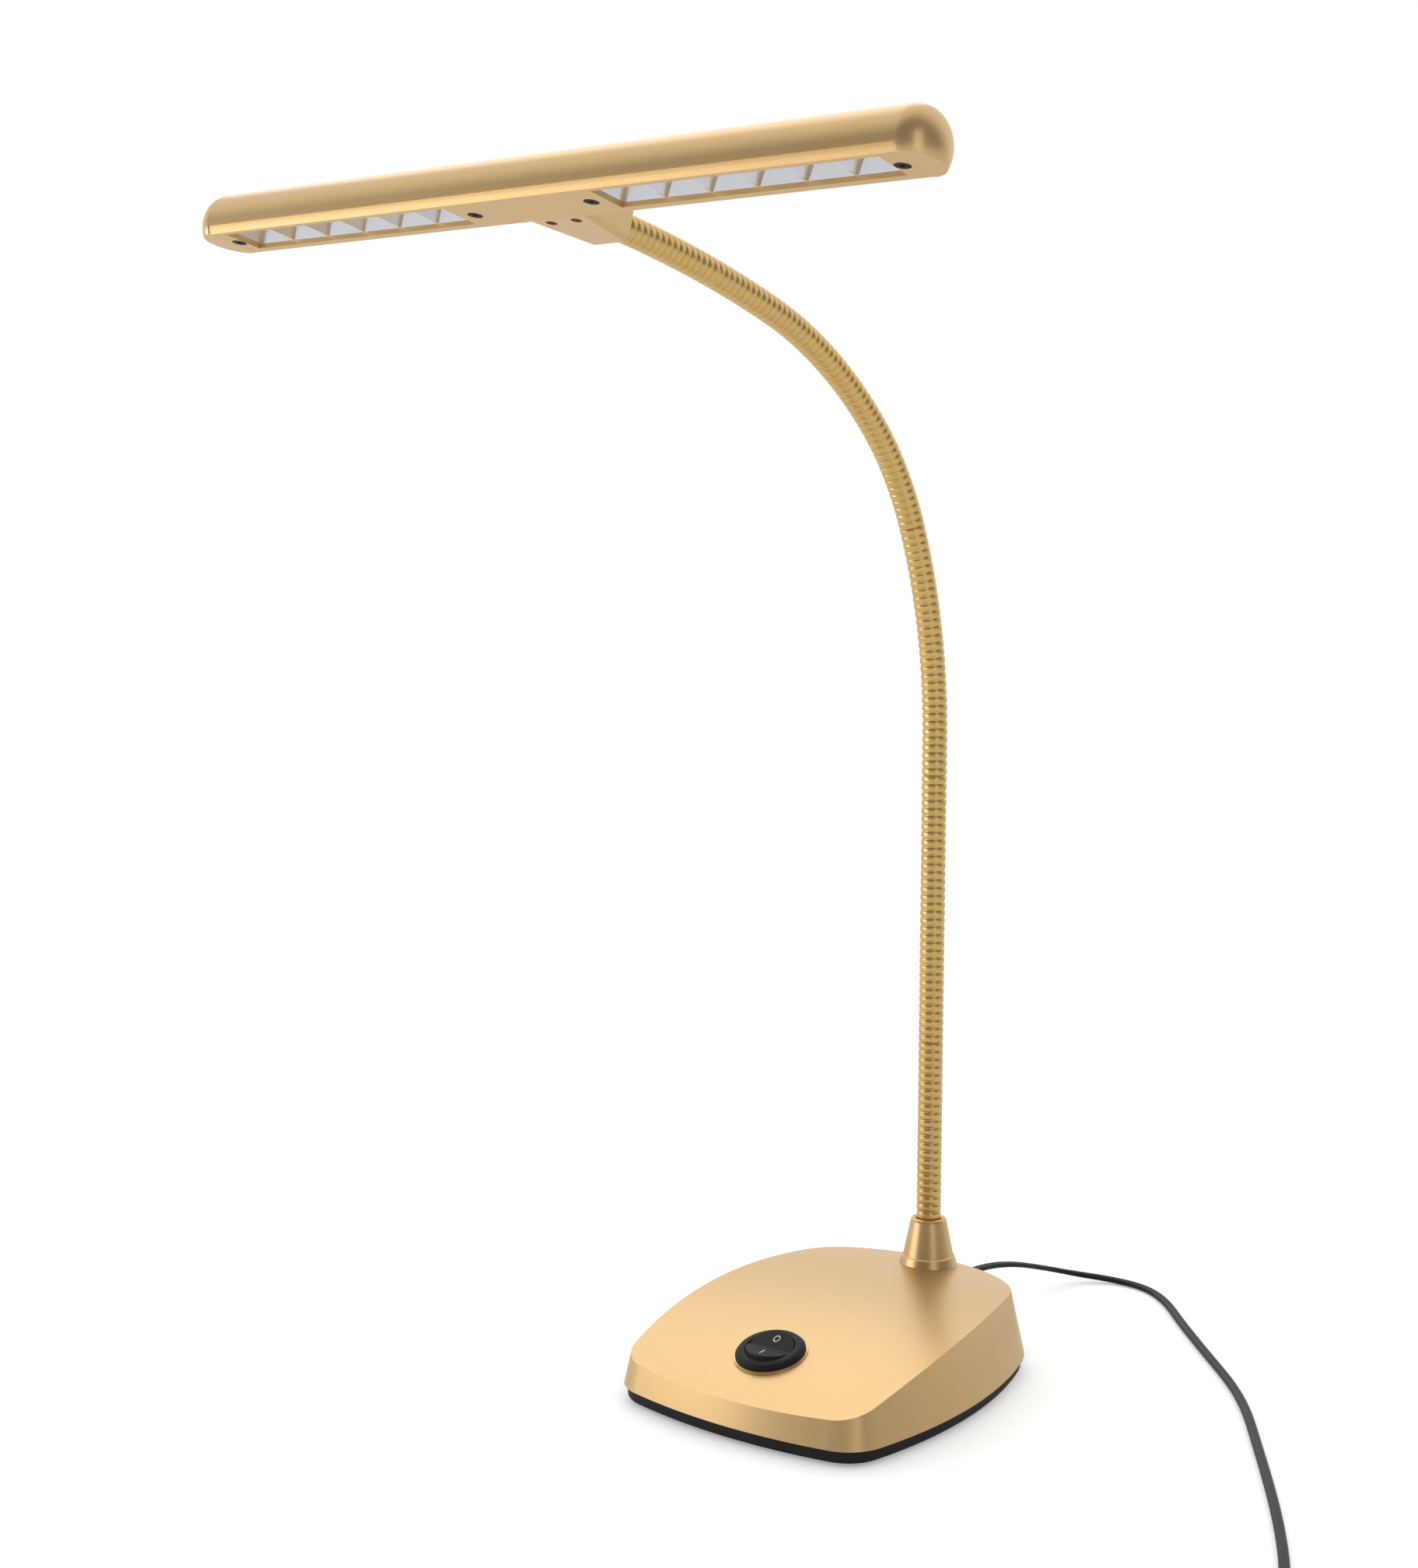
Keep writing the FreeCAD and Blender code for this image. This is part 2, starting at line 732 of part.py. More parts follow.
def neck_at(along):
    """Point and forward turn, in degrees, of the neck's centreline at a length from the ferrule's top."""
    y = 0.0
    z = size("ferrule_top")
    turn = 0.0
    if along < 0:
        return V(0, neck_y, z + along), 0.0
    for length, bend in neck_runs:
        part = min(along, length)
        if bend:
            radius = length / math.radians(bend)
            end = turn + bend * part / length
            y += radius * (math.cos(math.radians(turn)) - math.cos(math.radians(end)))
            z += radius * (math.sin(math.radians(end)) - math.sin(math.radians(turn)))
            turn = end
        else:
            z += part
        along -= part
        if along <= 1e-9:
            break
    return V(0, neck_y - y, z), turn


def neck_frame(along):
    point, turn = neck_at(along)
    return FreeCAD.Placement(point, rotation_x(turn))


def neck_loft(stations):
    """A ruled solid through circles of the given radii, square to the neck, all on a steady X axis."""
    rings = []
    for along, radius in stations:
        ring = Part.Wire([Part.makeCircle(radius)])
        ring.Placement = neck_frame(along)
        rings.append(ring)
    return Part.makeLoft(rings, True, True)


def ribbed(start, end):
    """Stations of whole ribs between two lengths: each rises from a groove, runs level and falls."""
    crest = size("neck_radius")
    groove = crest - size("groove_depth")
    count = max(1, round((end - start) / size("rib_pitch")))
    pitch = (end - start) / count
    stations = []
    for rib in range(count):
        at = start + rib * pitch
        stations += [(at, groove), (at + 0.16 * pitch, crest), (at + 0.84 * pitch, crest)]
    return stations + [(end, groove)]


def plain(start, end, radius):
    count = max(2, math.ceil((end - start) / 8.0))
    return [(start + (end - start) * n / count, radius) for n in range(count + 1)]


def neck_ball(along, radius):
    point, _ = neck_at(along)
    return Part.makeSphere(radius, point)


# Lengths along the neck at which it bends, from the ferrule to the head
knuckles = [size("knuckle_%d" % n) for n in (1, 2, 3)]
knuckles += [neck_length - size("knuckle_%d_from_end" % n) for n in (4, 5, 6)]
gap = size("knuckle_gap")


def build_neck():
    """Ribbed stretches of the gooseneck; each carries a bored ball that sits in the next one's seat."""
    bounds = [-size("neck_socket_depth")] + knuckles + [neck_length]
    for number in range(len(bounds) - 1):
        first = bounds[number] + (gap if number else 0.0)
        last = bounds[number + 1] - (gap if number < len(bounds) - 2 else 0.0)
        solid = neck_loft(ribbed(first, last))
        bore_start = first - 3.0
        bore_end = last + 3.0
        if number < len(bounds) - 2:
            solid = solid.fuse(neck_ball(bounds[number + 1], size("ball_radius")))
            bore_end = last + gap + size("ball_radius") + 1.0
        if number:
            solid = solid.cut(neck_ball(bounds[number], size("ball_radius") + size("ball_clearance")))
        solid = solid.cut(neck_loft(plain(bore_start, bore_end, size("neck_bore_radius"))))
        feature("neck_stretch_%d" % (number + 1), solid)
        clear_ball = size("ball_radius") + size("lead_gap")
        lead_first = bounds[number] + (clear_ball if number else 0.0)
        lead_last = bounds[number + 1] - (size("lead_gap") if number < len(bounds) - 2 else 0.0)
        feature("neck_lead_%d" % (number + 1), neck_loft(plain(lead_first, lead_last, size("lead_radius"))))


build_neck()

# Local frame of the head: Y runs from its front edge to its back, Z up from its underside
head_turn = rotation_x(-size("head_tilt"))
neck_end_point, neck_end_turn = neck_at(neck_length)
head_point = neck_end_point.sub(head_turn.multVec(V(0, size("neck_end_place"), size("neck_end_rise"))))
head_placement = FreeCAD.Placement(head_point, head_turn)
tube = size("head_tube_radius")
tube_z = size("head_tube_height")
tube_y = math.sqrt(tube ** 2 - tube_z ** 2)
half = size("head_half_length")
split = size("head_split")
cover_top = size("cover_thickness")
cell_top = cover_top + size("cell_depth")


def in_head(shape):
    shape.Placement = head_placement
    return shape


def bar(radius, half_length):
    return cylinder(radius, 2 * half_length, V(-half_length, tube_y, tube_z), ALONG)


def slab(low, high):
    return Part.makeBox(2 * half + 60, 60, high - low, V(-half - 30, -20, low))


cover_screw_places = [
    (side * size(name), tube_y) for name in ("cover_screw_outer", "cover_screw_inner") for side in (-1, 1)
]
head_screw_places = (-size("head_screw_across"), size("head_screw_across"))


def neck_end_in_head():
    """The neck's end in the head's frame: where it is and its direction."""
    frame = head_placement.inverse()
    point, turn = neck_at(neck_length)
    ahead = V(0, -math.sin(math.radians(turn)), math.cos(math.radians(turn)))
    return frame.multVec(point), frame.Rotation.multVec(ahead)


def build_housing():
    """Upper half of the bar: a round shell open below, with screw posts and holes for the bracket."""
    solid = bar(tube, half).cut(bar(tube - size("head_wall"), half + 1)).cut(slab(-20, split))
    post_radius = size("cover_screw_radius") + 0.6
    for x, y in cover_screw_places:
        post = cylinder(post_radius, 20, V(x, y, cover_top)).common(bar(tube - 0.5, half))
        solid = solid.fuse(post)
        solid = solid.cut(cylinder(size("cover_screw_radius") * 0.9, 9, V(x, y, 0)))
    for x in head_screw_places:
        solid = solid.cut(cylinder(size("screw_radius"), 30, V(x, tube_y, tube_z + 1.5), BACK))
    end, _ = neck_end_in_head()
    solid = solid.cut(cylinder(1.6, 30, V(0, tube_y, end.z), BACK))
    feature("head_housing", in_head(solid.removeSplitter()))


def build_cap(side, label):
    """Domed end cap: half an ellipse turned about the bar's axis, flat below, with a short plug."""
    bulge = size("cap_bulge")
    dome_shape = Part.makeSphere(tube, V(0, 0, 0), ALONG)
    squash = FreeCAD.Matrix()
    squash.scale(bulge / tube, 1.0, 1.0)
    dome_shape = dome_shape.transformGeometry(squash)
    dome_shape.translate(V(side * half, tube_y, tube_z))
    outside = Part.makeBox(bulge + 2, 60, 60, V(half if side > 0 else -half - bulge - 2, -20, 0))
    solid = dome_shape.common(outside)
    inner = tube - size("head_wall") - size("fit_gap")
    start = V(side * half, tube_y, tube_z)
    plug = cylinder(inner, size("cap_plug"), start, V(-side, 0, 0))
    plug = plug.cut(cylinder(inner - 1.4, size("cap_plug"), start, V(-side, 0, 0)))
    plug = plug.common(slab(split + size("fit_gap"), 40))
    feature(label, in_head(solid.fuse(plug)))


def window(side, grow, low, high):
    inner = size("window_inner") - grow
    outer = size("window_outer") + grow
    start = inner if side > 0 else -outer
    depth = size("window_back") - size("window_front") + 2 * grow
    return Part.makeBox(outer - inner, depth, high - low, V(start, size("window_front") - grow, low))


def build_cover():
    """Underside tray with two windows and four screw holes."""
    outer = bar(tube - size("cover_inset"), half).common(slab(0, split))
    inner = bar(tube - size("head_wall") - size("fit_gap"), half + 1).common(slab(cover_top, split + 1))
    solid = outer.cut(inner)
    for side in (-1, 1):
        solid = solid.cut(window(side, 0.0, -1, split + 1))
    for x, y in cover_screw_places:
        solid = solid.cut(cylinder(size("cover_screw_radius") + size("fit_gap"), 5, V(x, y, -1)))
        solid = solid.cut(cylinder(size("cover_screw_head") + size("fit_gap"), 0.8, V(x, y, 0)))
    feature("head_cover", in_head(solid))


def build_light(side, name):
    """One bank of reflector cells with its board; returns its lamps for the shared group."""
    flange = 0.7
    block = window(side, flange, cover_top, cell_top)
    inner = size("window_inner")
    pitch = (size("window_outer") - inner) / size("cell_count")
    middle_y = (size("window_front") + size("window_back")) / 2
    half_y = middle_y - size("window_front")
    narrow = size("cell_top_half")
    lamps = []
    for number in range(int(size("cell_count"))):
        x = side * (inner + (number + 0.5) * pitch)
        half_x = pitch / 2 - size("cell_wall") / 2
        wide = Part.makePolygon([V(x + sx * half_x, middle_y + sy * half_y, cover_top)
                                 for sx, sy in ((-1, -1), (1, -1), (1, 1), (-1, 1), (-1, -1))])
        tight = Part.makePolygon([V(x + sx * narrow, middle_y + sy * narrow, cell_top)
                                  for sx, sy in ((-1, -1), (1, -1), (1, 1), (-1, 1), (-1, -1))])
        block = block.cut(Part.makeLoft([wide, tight], True, True))
        led = size("led_size")
        lamps.append(Part.makeBox(led, led, size("led_height"),
                                  V(x - led / 2, middle_y - led / 2, cell_top - size("led_height"))))
    feature("reflector_" + name, in_head(block))
    board = window(side, 0.0, cell_top, cell_top + size("led_board_thickness"))
    feature("led_board_" + name, in_head(board))
    return lamps


def build_cover_screws():
    screws = []
    for x, y in cover_screw_places:
        head = cylinder(size("cover_screw_head"), 0.8, V(x, y, 0))
        shank = cylinder(size("cover_screw_radius") * 0.9, 6.0, V(x, y, 0))
        socket = cylinder(size("cover_screw_radius") * 0.8, 0.5, V(x, y, 0))
        screws.append(in_head(head.fuse(shank).cut(socket)))
    feature("cover_screws", Part.makeCompound(screws))


def rounded_section(half_width, low, high, y, slope):
    """A four-sided section of the bracket with cut corners, leaning with the neck."""
    cut = 1.6
    outline = [(-half_width, low + cut), (-half_width + cut, low), (half_width - cut, low), (half_width, low + cut),
               (half_width, high - cut), (half_width - cut, high), (-half_width + cut, high), (-half_width, high - cut)]
    points = [V(x, y + (z - low) * slope, z) for x, z in outline]
    return Part.makePolygon(points + points[:1])


def build_bracket():
    """Tapered bracket from the bar's back to the neck's end, with two small screws beneath."""
    end, ahead = neck_end_in_head()
    socket = size("bracket_socket")
    mouth = end.sub(V(ahead).multiply(socket))
    slope = 0.05
    near = rounded_section(size("bracket_half_width"), size("bracket_low"), size("bracket_low") + size("bracket_height"),
                           tube_y, slope)
    reach = size("bracket_neck_half_width")
    far = rounded_section(reach, mouth.z - reach + 1.0, mouth.z + reach - 1.0, mouth.y, slope)
    solid = Part.makeLoft([near, far], True, True).cut(bar(tube, half))
    hole = cylinder(size("neck_radius") + size("fit_gap"), socket + 3, end, V(ahead).multiply(-1))
    passage = cylinder(1.6, 30, V(0, tube_y, end.z), BACK)
    solid = solid.cut(hole).cut(passage)
    screws = []
    low = size("bracket_low")
    for side in (-1, 1):
        x = side * size("bracket_screw_gap") / 2
        y = tube_y + size("bracket_screw_place")
        pocket = cylinder(1.6, 40, V(x, y, -36 + low + 2.6))
        shank = cylinder(0.9, 2.4, V(x, y, low + 2.6))
        solid = solid.cut(pocket).cut(shank)
        screws.append(in_head(cylinder(1.5, 1.0, V(x, y, low + 1.6)).fuse(shank)))
    for x in head_screw_places:
        solid = solid.cut(cylinder(size("screw_radius") * 0.9, size("head_screw_length"),
                                   V(x, tube_y + 6, tube_z + 1.5), BACK))
    feature("head_bracket", in_head(solid))
    feature("bracket_screws", Part.makeCompound(screws))


def build_head_screws():
    """Two screws from inside the bar into the bracket."""
    screws = []
    inner = math.sqrt((tube - size("head_wall")) ** 2 - 1.5 ** 2)
    wall_y = tube_y + inner - 0.9
    for x in head_screw_places:
        head = cylinder(2.2, 1.2, V(x, wall_y - 1.2, tube_z + 1.5), BACK)
        shank = cylinder(size("screw_radius") * 0.85, 8.0, V(x, wall_y - 0.1, tube_z + 1.5), BACK)
        screws.append(in_head(head.fuse(shank)))
    feature("head_screws", Part.makeCompound(screws))


def build_head_lead():
    """The lead from the neck's end to the two boards."""
    end, _ = neck_end_in_head()
    top = cell_top + size("led_board_thickness")
    radius = 0.8
    turn_y = tube_y - size("head_lead_place")
    reach = size("window_inner") + 5.0
    trunk = round_lead([V(0, end.y - 0.5, end.z), V(0, tube_y + 3.0, end.z), V(0, turn_y, top + radius)], radius)
    arms = round_lead([V(-reach, turn_y, top + radius), V(0, turn_y, top + radius), V(reach, turn_y, top + radius)],
                      radius)
    feature("head_lead", in_head(trunk.fuse(arms)))


build_housing()
build_cap(-1, "end_cap_left")
build_cap(1, "end_cap_right")
build_cover()
led_group = build_light(-1, "left") + build_light(1, "right")
feature("leds", in_head(Part.makeCompound(led_group)))
build_cover_screws()
build_bracket()
build_head_screws()
build_head_lead()
print("neck end", neck_at(neck_length), "in head", neck_end_in_head())


# Supply lead: a plain tube on the table from the gland to a flat coil of piled loops, then a plug
cord_radius = size("cord_radius")


def fair_wire(points):
    """Straight runs joined by tangent arcs; each radius follows from the shorter run and the turn."""
    edges = []
    radii = []
    previous = points[0]
    for before, corner, after in zip(points, points[1:], points[2:]):
        back = before.sub(corner)
        ahead = after.sub(corner)
        short = min(back.Length, ahead.Length)
        back.normalize()
        ahead.normalize()
        half_turn = (math.pi - back.getAngle(ahead)) / 2
        setback = 0.45 * short
        radius = setback / math.tan(half_turn)
        first = corner.add(V(back).multiply(setback))
        last = corner.add(V(ahead).multiply(setback))
        bisector = back.add(ahead)
        bisector.normalize()
        middle = corner.add(bisector.multiply(radius / math.cos(half_turn) - radius))
        edges.append(Part.LineSegment(previous, first).toShape())
        edges.append(Part.Arc(first, middle, last).toShape())
        previous = last
        radii.append(radius)
    edges.append(Part.LineSegment(previous, points[-1]).toShape())
    return edges, radii


def tangent_arc(start, heading, end):
    """The arc that leaves start along heading and reaches end; also returns its heading there."""
    chord = end.sub(start)
    across = chord.sub(V(heading).multiply(chord.dot(heading)))
    across.normalize()
    radius = chord.Length ** 2 / (2 * chord.dot(across))
    centre = start.add(V(across).multiply(radius))
    outward = start.sub(centre).add(end.sub(centre))
    outward.normalize()
    unit = V(chord)
    unit.normalize()
    leaving = V(unit).multiply(2 * heading.dot(unit)).sub(heading)
    return Part.Arc(start, centre.add(outward.multiply(radius)), end).toShape(), leaving


def coil_edges(start, heading):
    """Loops that spiral in and out in four layers, climbing a layer where the spiral turns back."""
    step = size("coil_pitch")
    left = V(-heading.y, heading.x, 0)
    radius = size("coil_radius")
    centre = start.add(V(left).multiply(radius))
    angle = math.atan2(-left.y, -left.x)
    point = start
    edges = []
    inward = True
    layers = int(size("coil_layers"))
    loops = int(size("coil_half_loops"))
    for layer in range(layers):
        count = loops + (1 if layer in (0, layers - 1) else 0)
        for number in range(count):
            climbing = number == count - 1 and layer < layers - 1
            rise = size("coil_rise") if climbing else 0.0
            wide = math.hypot(radius, rise / 2)
            for share, reach in ((0.5, wide), (1.0, radius)):
                turn = angle + math.pi * share
                level = point.z + rise / 2
                end = V(centre.x + reach * math.cos(turn), centre.y + reach * math.sin(turn), level)
                edge, heading = tangent_arc(point, heading, end)
                edges.append(edge)
                point = end
            angle += math.pi
            if climbing:
                inward = not inward
            change = -step / 2 if inward else step / 2
            last_loop = layer == layers - 1 and number == count - 1
            if not last_loop:
                centre = centre.sub(V(math.cos(angle), math.sin(angle), 0).multiply(change))
                radius += change
    return edges, point, heading


def least_gap(wire):
    """Least gap of the tube to itself, from points along it that are more than a third of a loop apart."""
    count = int(wire.Length / 2.0)
    points = wire.discretize(Number=count)
    least = 1e9
    spacing = wire.Length / (count - 1)
    skip = int(2.0 * size("coil_radius") / spacing)
    for first in range(count):
        for second in range(first + skip, count):
            least = min(least, points[first].distanceToPoint(points[second]))
    return least - 2 * cord_radius


def swept(edges, label):
    """One unbroken tube on a wire; its volume is compared with its section times its length."""
    wire = Part.Wire(edges)
    start = edges[0].valueAt(edges[0].FirstParameter)
    heading = edges[0].tangentAt(edges[0].FirstParameter)
    ring = Part.Wire([Part.makeCircle(cord_radius, start, heading)])
    tube_shape = wire.makePipeShell([ring], True, False)
    expected = math.pi * cord_radius ** 2 * wire.Length
    print(label, "length %.1f mm, volume ratio %.4f" % (wire.Length, tube_shape.Volume / expected))
    feature(label, tube_shape)
    return wire


gland_y = neck_y + size("gland_out")
gland_z = size("gland_height")
cord_route = [
    (0.0, 20.25), (0.0, 34.25), (3.0, 52.0), (6.0, 73.0), (11.0, 87.0), (22.5, 95.2), (36.5, 95.0), (49.5, 86.0),
    (65.0, 67.5), (86.0, 44.25), (105.0, 23.75), (119.0, 5.25), (133.0, -17.75), (150.0, -45.75), (165.0, -71.75), (179.0, -98.75),
    (189.0, -124.75), (196.0, -148.75),
]
cord_heights = [17.0, 17.0, 15.2, 8.6, 4.0, 2.0]


def build_gland():
    """Moulded gland: a flange inside the back wall, a neck through it and a taper outside."""
    bore = cord_radius
    wall_radius = size("gland_radius") - size("fit_gap") / 2
    flange = size("gland_flange_radius")
    inside = size("gland_inside")
    out = size("gland_out")
    back = inside - size("fit_gap")
    front = back - size("gland_flange_thickness")
    profile = [
        (0.0, front), (flange, front), (flange, back), (wall_radius, back),
        (wall_radius, out - 8.0), (bore + 0.9, out), (0.0, out),
    ]
    body = turned("cord_gland", profile)
    place(body, V(0, neck_y, gland_z), rotation_x(-90))


def build_cord():
    route = []
    for number, (x, along) in enumerate(cord_route):
        height = cord_heights[number] if number < len(cord_heights) else cord_radius
        route.append(V(x, neck_y + along, height))
    route[0] = V(0, gland_y, gland_z)
    edges, radii = fair_wire(route)
    print("lead radii", " ".join("%.0f" % radius for radius in radii))
    swept(edges, "cord_run")
    heading = route[-1].sub(route[-2])
    heading.normalize()
    loops, end, heading = coil_edges(route[-1], heading)
    coil = swept(loops, "cord_coil")
    print("coil least gap %.2f mm" % least_gap(coil))
    across = V(-heading.y, heading.x, 0)
    mouth = size("adapter_mouth")
    tail = [(0, end.z, 0), (13, end.z, 0), (30, 6.2, 1.5), (47, 1.6, 3.5), (63, 2.4, 3.0), (78, 9.0, 1.0),
            (mouth - 12, size("adapter_exit"), 0), (mouth, size("adapter_exit"), 0)]
    points = []
    for along, height, sideways in tail:
        spot = end.add(V(heading).multiply(along)).add(V(across).multiply(sideways))
        points.append(V(spot.x, spot.y, height))
    edges, radii = fair_wire(points)
    print("tail radii", " ".join("%.0f" % radius for radius in radii))
    swept(edges, "cord_tail")
    build_adapter(points[-1], heading)


def build_adapter(mouth, heading):
    """Plug-in adapter on its back: a rounded block, a relief at its end and two round pins."""
    turn = FreeCAD.Rotation(BACK, heading)
    length = size("adapter_height")
    depth = size("adapter_depth")
    relief = size("relief_length")
    spot = V(mouth.x, mouth.y, 0)
    body = rounded_box("adapter_body", depth, length, size("adapter_width"), V(0, 0, 0), 5.0)
    middle = spot.add(V(heading).multiply(relief + length / 2))
    place(body, middle, turn)
    sleeve = turned("adapter_relief", [(0.0, 0.0), (cord_radius + 0.7, 0.0), (size("gland_radius"), relief),
                                       (0.0, relief)])
    lay = FreeCAD.Rotation(UP, heading)
    place(sleeve, mouth, lay)
    pins = []
    for side in (-1, 1):
        at = turn.multVec(V(side * size("pin_gap") / 2, size("pin_place"), size("adapter_width"))).add(middle)
        pin = cylinder(size("pin_radius"), size("pin_length"), at)
        pins.append(pin.makeFillet(0.8, [e for e in pin.Edges if e.BoundBox.ZMin > at.z + size("pin_length") - 0.1]))
    feature("adapter_pins", Part.makeCompound(pins))


build_gland()
build_cord()

doc.recompute()
PARTS = [
    "base_shell", "base_plate", "rubber_feet", "base_screws", "ballast_block", "ballast_screws",
    "neck_ferrule", "neck_stud", "neck_washer", "neck_nut",
    "switch_bezel", "switch_rocker", "switch_terminals",
    "driver_board", "board_spacers", "board_parts", "base_leads",
    "head_housing", "end_cap_left", "end_cap_right", "head_cover", "cover_screws",
    "reflector_left", "reflector_right", "led_board_left", "led_board_right", "leds",
    "head_bracket", "bracket_screws", "head_screws", "head_lead",
    "cord_gland", "cord_run", "cord_coil", "cord_tail", "adapter_body", "adapter_relief", "adapter_pins",
] + ["neck_stretch_%d" % number for number in range(1, len(knuckles) + 2)] + [
    "neck_lead_%d" % number for number in range(1, len(knuckles) + 2)]

for obj in doc.Objects:
    if "Invalid" in obj.State or "Error" in obj.State:
        raise RuntimeError("failed: " + obj.Label)
shapes = {}
for label in PARTS:
    found = doc.getObjectsByLabel(label)
    shape = found[0].Shape
    if len(found) != 1 or shape.isNull() or not shape.isValid() or not shape.Solids:
        raise RuntimeError("bad shape: " + label)
    shapes[label] = shape
for label, shape in shapes.items():
    shape.exportStep("parts/%s.step" % label)
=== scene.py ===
import math

import bmesh
import bpy
from mathutils import Matrix, Vector


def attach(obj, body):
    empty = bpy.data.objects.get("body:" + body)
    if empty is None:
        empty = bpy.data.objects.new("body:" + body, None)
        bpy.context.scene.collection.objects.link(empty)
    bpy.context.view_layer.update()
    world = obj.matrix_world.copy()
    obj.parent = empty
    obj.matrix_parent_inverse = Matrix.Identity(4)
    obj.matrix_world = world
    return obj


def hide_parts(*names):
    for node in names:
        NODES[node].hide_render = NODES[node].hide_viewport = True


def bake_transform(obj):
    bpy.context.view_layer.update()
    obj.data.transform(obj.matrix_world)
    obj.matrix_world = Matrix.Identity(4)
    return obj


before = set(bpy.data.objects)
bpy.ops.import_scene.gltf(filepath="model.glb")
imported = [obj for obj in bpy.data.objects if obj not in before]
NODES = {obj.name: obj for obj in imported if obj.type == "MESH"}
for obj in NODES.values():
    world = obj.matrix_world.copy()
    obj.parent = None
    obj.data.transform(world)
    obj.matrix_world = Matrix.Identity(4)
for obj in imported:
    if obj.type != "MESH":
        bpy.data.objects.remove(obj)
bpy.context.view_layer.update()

bl_info = {
    "name": "Piano lamp",
    "version": (1, 0, 0),
    "blender": (4, 5, 0),
    "location": "View3D > Sidebar > Piano lamp",
    "description": "Dresses the piano lamp: paint, plastic, reflectors, switch marks, supply lead and studio",
    "category": "Object",
}

MM = 0.001

# Gooseneck in millimetres. Its centreline starts at the top of the ferrule: a straight run, then bends given by
# their radius and their forward turn in degrees
NECK_Y = 98.64
NECK_FOOT = 44.0
NECK_STRAIGHT = 169.0
NECK_BENDS = ((173.0, 24.8), (102.4, 23.4), (154.7, 23.9), (523.0, 9.2))
NECK_RUNS = [(NECK_STRAIGHT, 0.0)] + [(radius * math.radians(turn), turn) for radius, turn in NECK_BENDS]
NECK_LENGTH = sum(run for run, _ in NECK_RUNS)
# Where the neck bends, how far each bend reaches along it, and the bodies that follow one another
KNUCKLES = [16.0, 110.0, 205.0] + [NECK_LENGTH - back for back in (149.2, 84.2, 16.2)]
BEND_REACH = (10.0, 22.0, 22.0, 22.0, 22.0, 7.0)
# The first rib is hidden in the ferrule
NECK_START = -8.5
STEPS_PER_RIB = 8
LINE_POINTS_PER_RIB = 4
RIB_SIDES = 40
# The higher the power, the narrower the groove; the nudge keeps a ring on its own rib when it is rounded
GROOVE_POWER = 5
RIB_NUDGE = 0.0001

# Rocker in metres: its pivot, its lean (the shell's slope and half of its throw), and the two flats of its top
ROCKER_PIVOT = Vector((0.0, 0.005385, 0.020787))
ROCKER_LEAN = math.radians(14.0034)
ROCKER_VEE = math.radians(13.0)
ROCKER_MIDDLE = 0.0022
# Printed marks in metres: a ring stretched along the rocker, and a bar
RING_RADII = (0.00082, 0.00116)
RING_STRETCH = 1.25
RING_SIDES = 36
BAR_HALF_WIDTH = 0.00026
BAR_HALF_LENGTH = 0.0015
PRINT_LIFT = 0.00004

# Route of the lead on the table, in millimetres: across, from the neck's axis, and up
LEAD_START = [
    (0.0, 23.4, 17.0), (0.0, 34.25, 16.8), (3.0, 52.0, 14.6), (6.0, 73.0, 8.0), (11.0, 87.0, 3.2),
    (22.5, 95.2, 1.2), (36.5, 95.0, 0.95), (49.5, 86.0, 0.95), (65.0, 67.5, 0.95), (86.0, 44.25, 0.95),
    (105.0, 23.75, 0.95), (119.0, 5.25, 0.95), (133.0, -17.75, 0.95), (150.0, -45.75, 0.95),
    (165.0, -71.75, 0.95), (179.0, -98.75, 0.95), (189.0, -124.75, 0.95),
]
# Tail from the coil to the adapter, in millimetres: along, sideways, up
LEAD_TAIL = [
    (12.0, 0.0, 6.8), (30.0, 1.5, 3.4), (47.0, 3.5, 1.2), (63.0, 3.0, 2.2), (78.0, 1.0, 8.6), (88.0, 0.0, 13.0),
    (97.9, 0.0, 13.5),
]
# Coil: where the lead enters it and which way it heads, and the half loops of each layer
COIL_START = (196.0, -148.75)
COIL_HEADING = (7.0, -24.0)
COIL_LAYERS = (6, 5, 5, 6)
STEPS_PER_HALF_LOOP = 6
LEAD_LIFT = 0.00005
# Each of the lead's two cores shows this many degrees of its round, and a groove takes the rest
CORE_SWEEP = 280
CORE_STEPS = 12

# Grain of the finishes, in cells to the metre: 0.38 mm flecks in paint, 0.3 mm in moulded plastic, 0.55 mm in the
# sheath and 1.4 mm in the casting. Paint flecks are really finer, and are this coarse so that they show
PAINT_GRAIN = 2600.0
PLASTIC_GRAIN = 3200.0
SHEATH_GRAIN = 1800.0
CASTING_GRAIN = 700.0
GRAIN_DETAIL = 3.0
GRAIN_HEIGHT = 0.0001
EDGE_ANGLE = math.radians(38)

# Stage in metres and watts
FLOOR_REACH = 6.0
FLOOR_DROP = 0.0002
FLOOR_GLOW = 0.28
WHITE = (1, 1, 1, 1)
ROOM_LEVEL = 0.75
BACKDROP_LEVEL = 1.05
BACKDROP_WAY = (-0.53, 0.68, 0.5)
BACKDROP_RISE = ((0.0, (0.14, 0.14, 0.15, 1)), (0.5, WHITE))
LIGHTS = (
    # Name, place, the point it faces, width, height, power
    ("Key_softbox", (-0.9, 0.9, 1.5), (0.0, 0.0, 0.2), 1.2, 1.2, 3.5),
    ("Side_softbox", (1.5, -0.9, 0.7), (0.0, 0.0, 0.2), 0.8, 1.2, 3.0),
    ("Front_softbox", (-1.3, -1.2, 0.25), (0.0, 0.0, 0.0), 1.2, 0.4, 6.0),
)

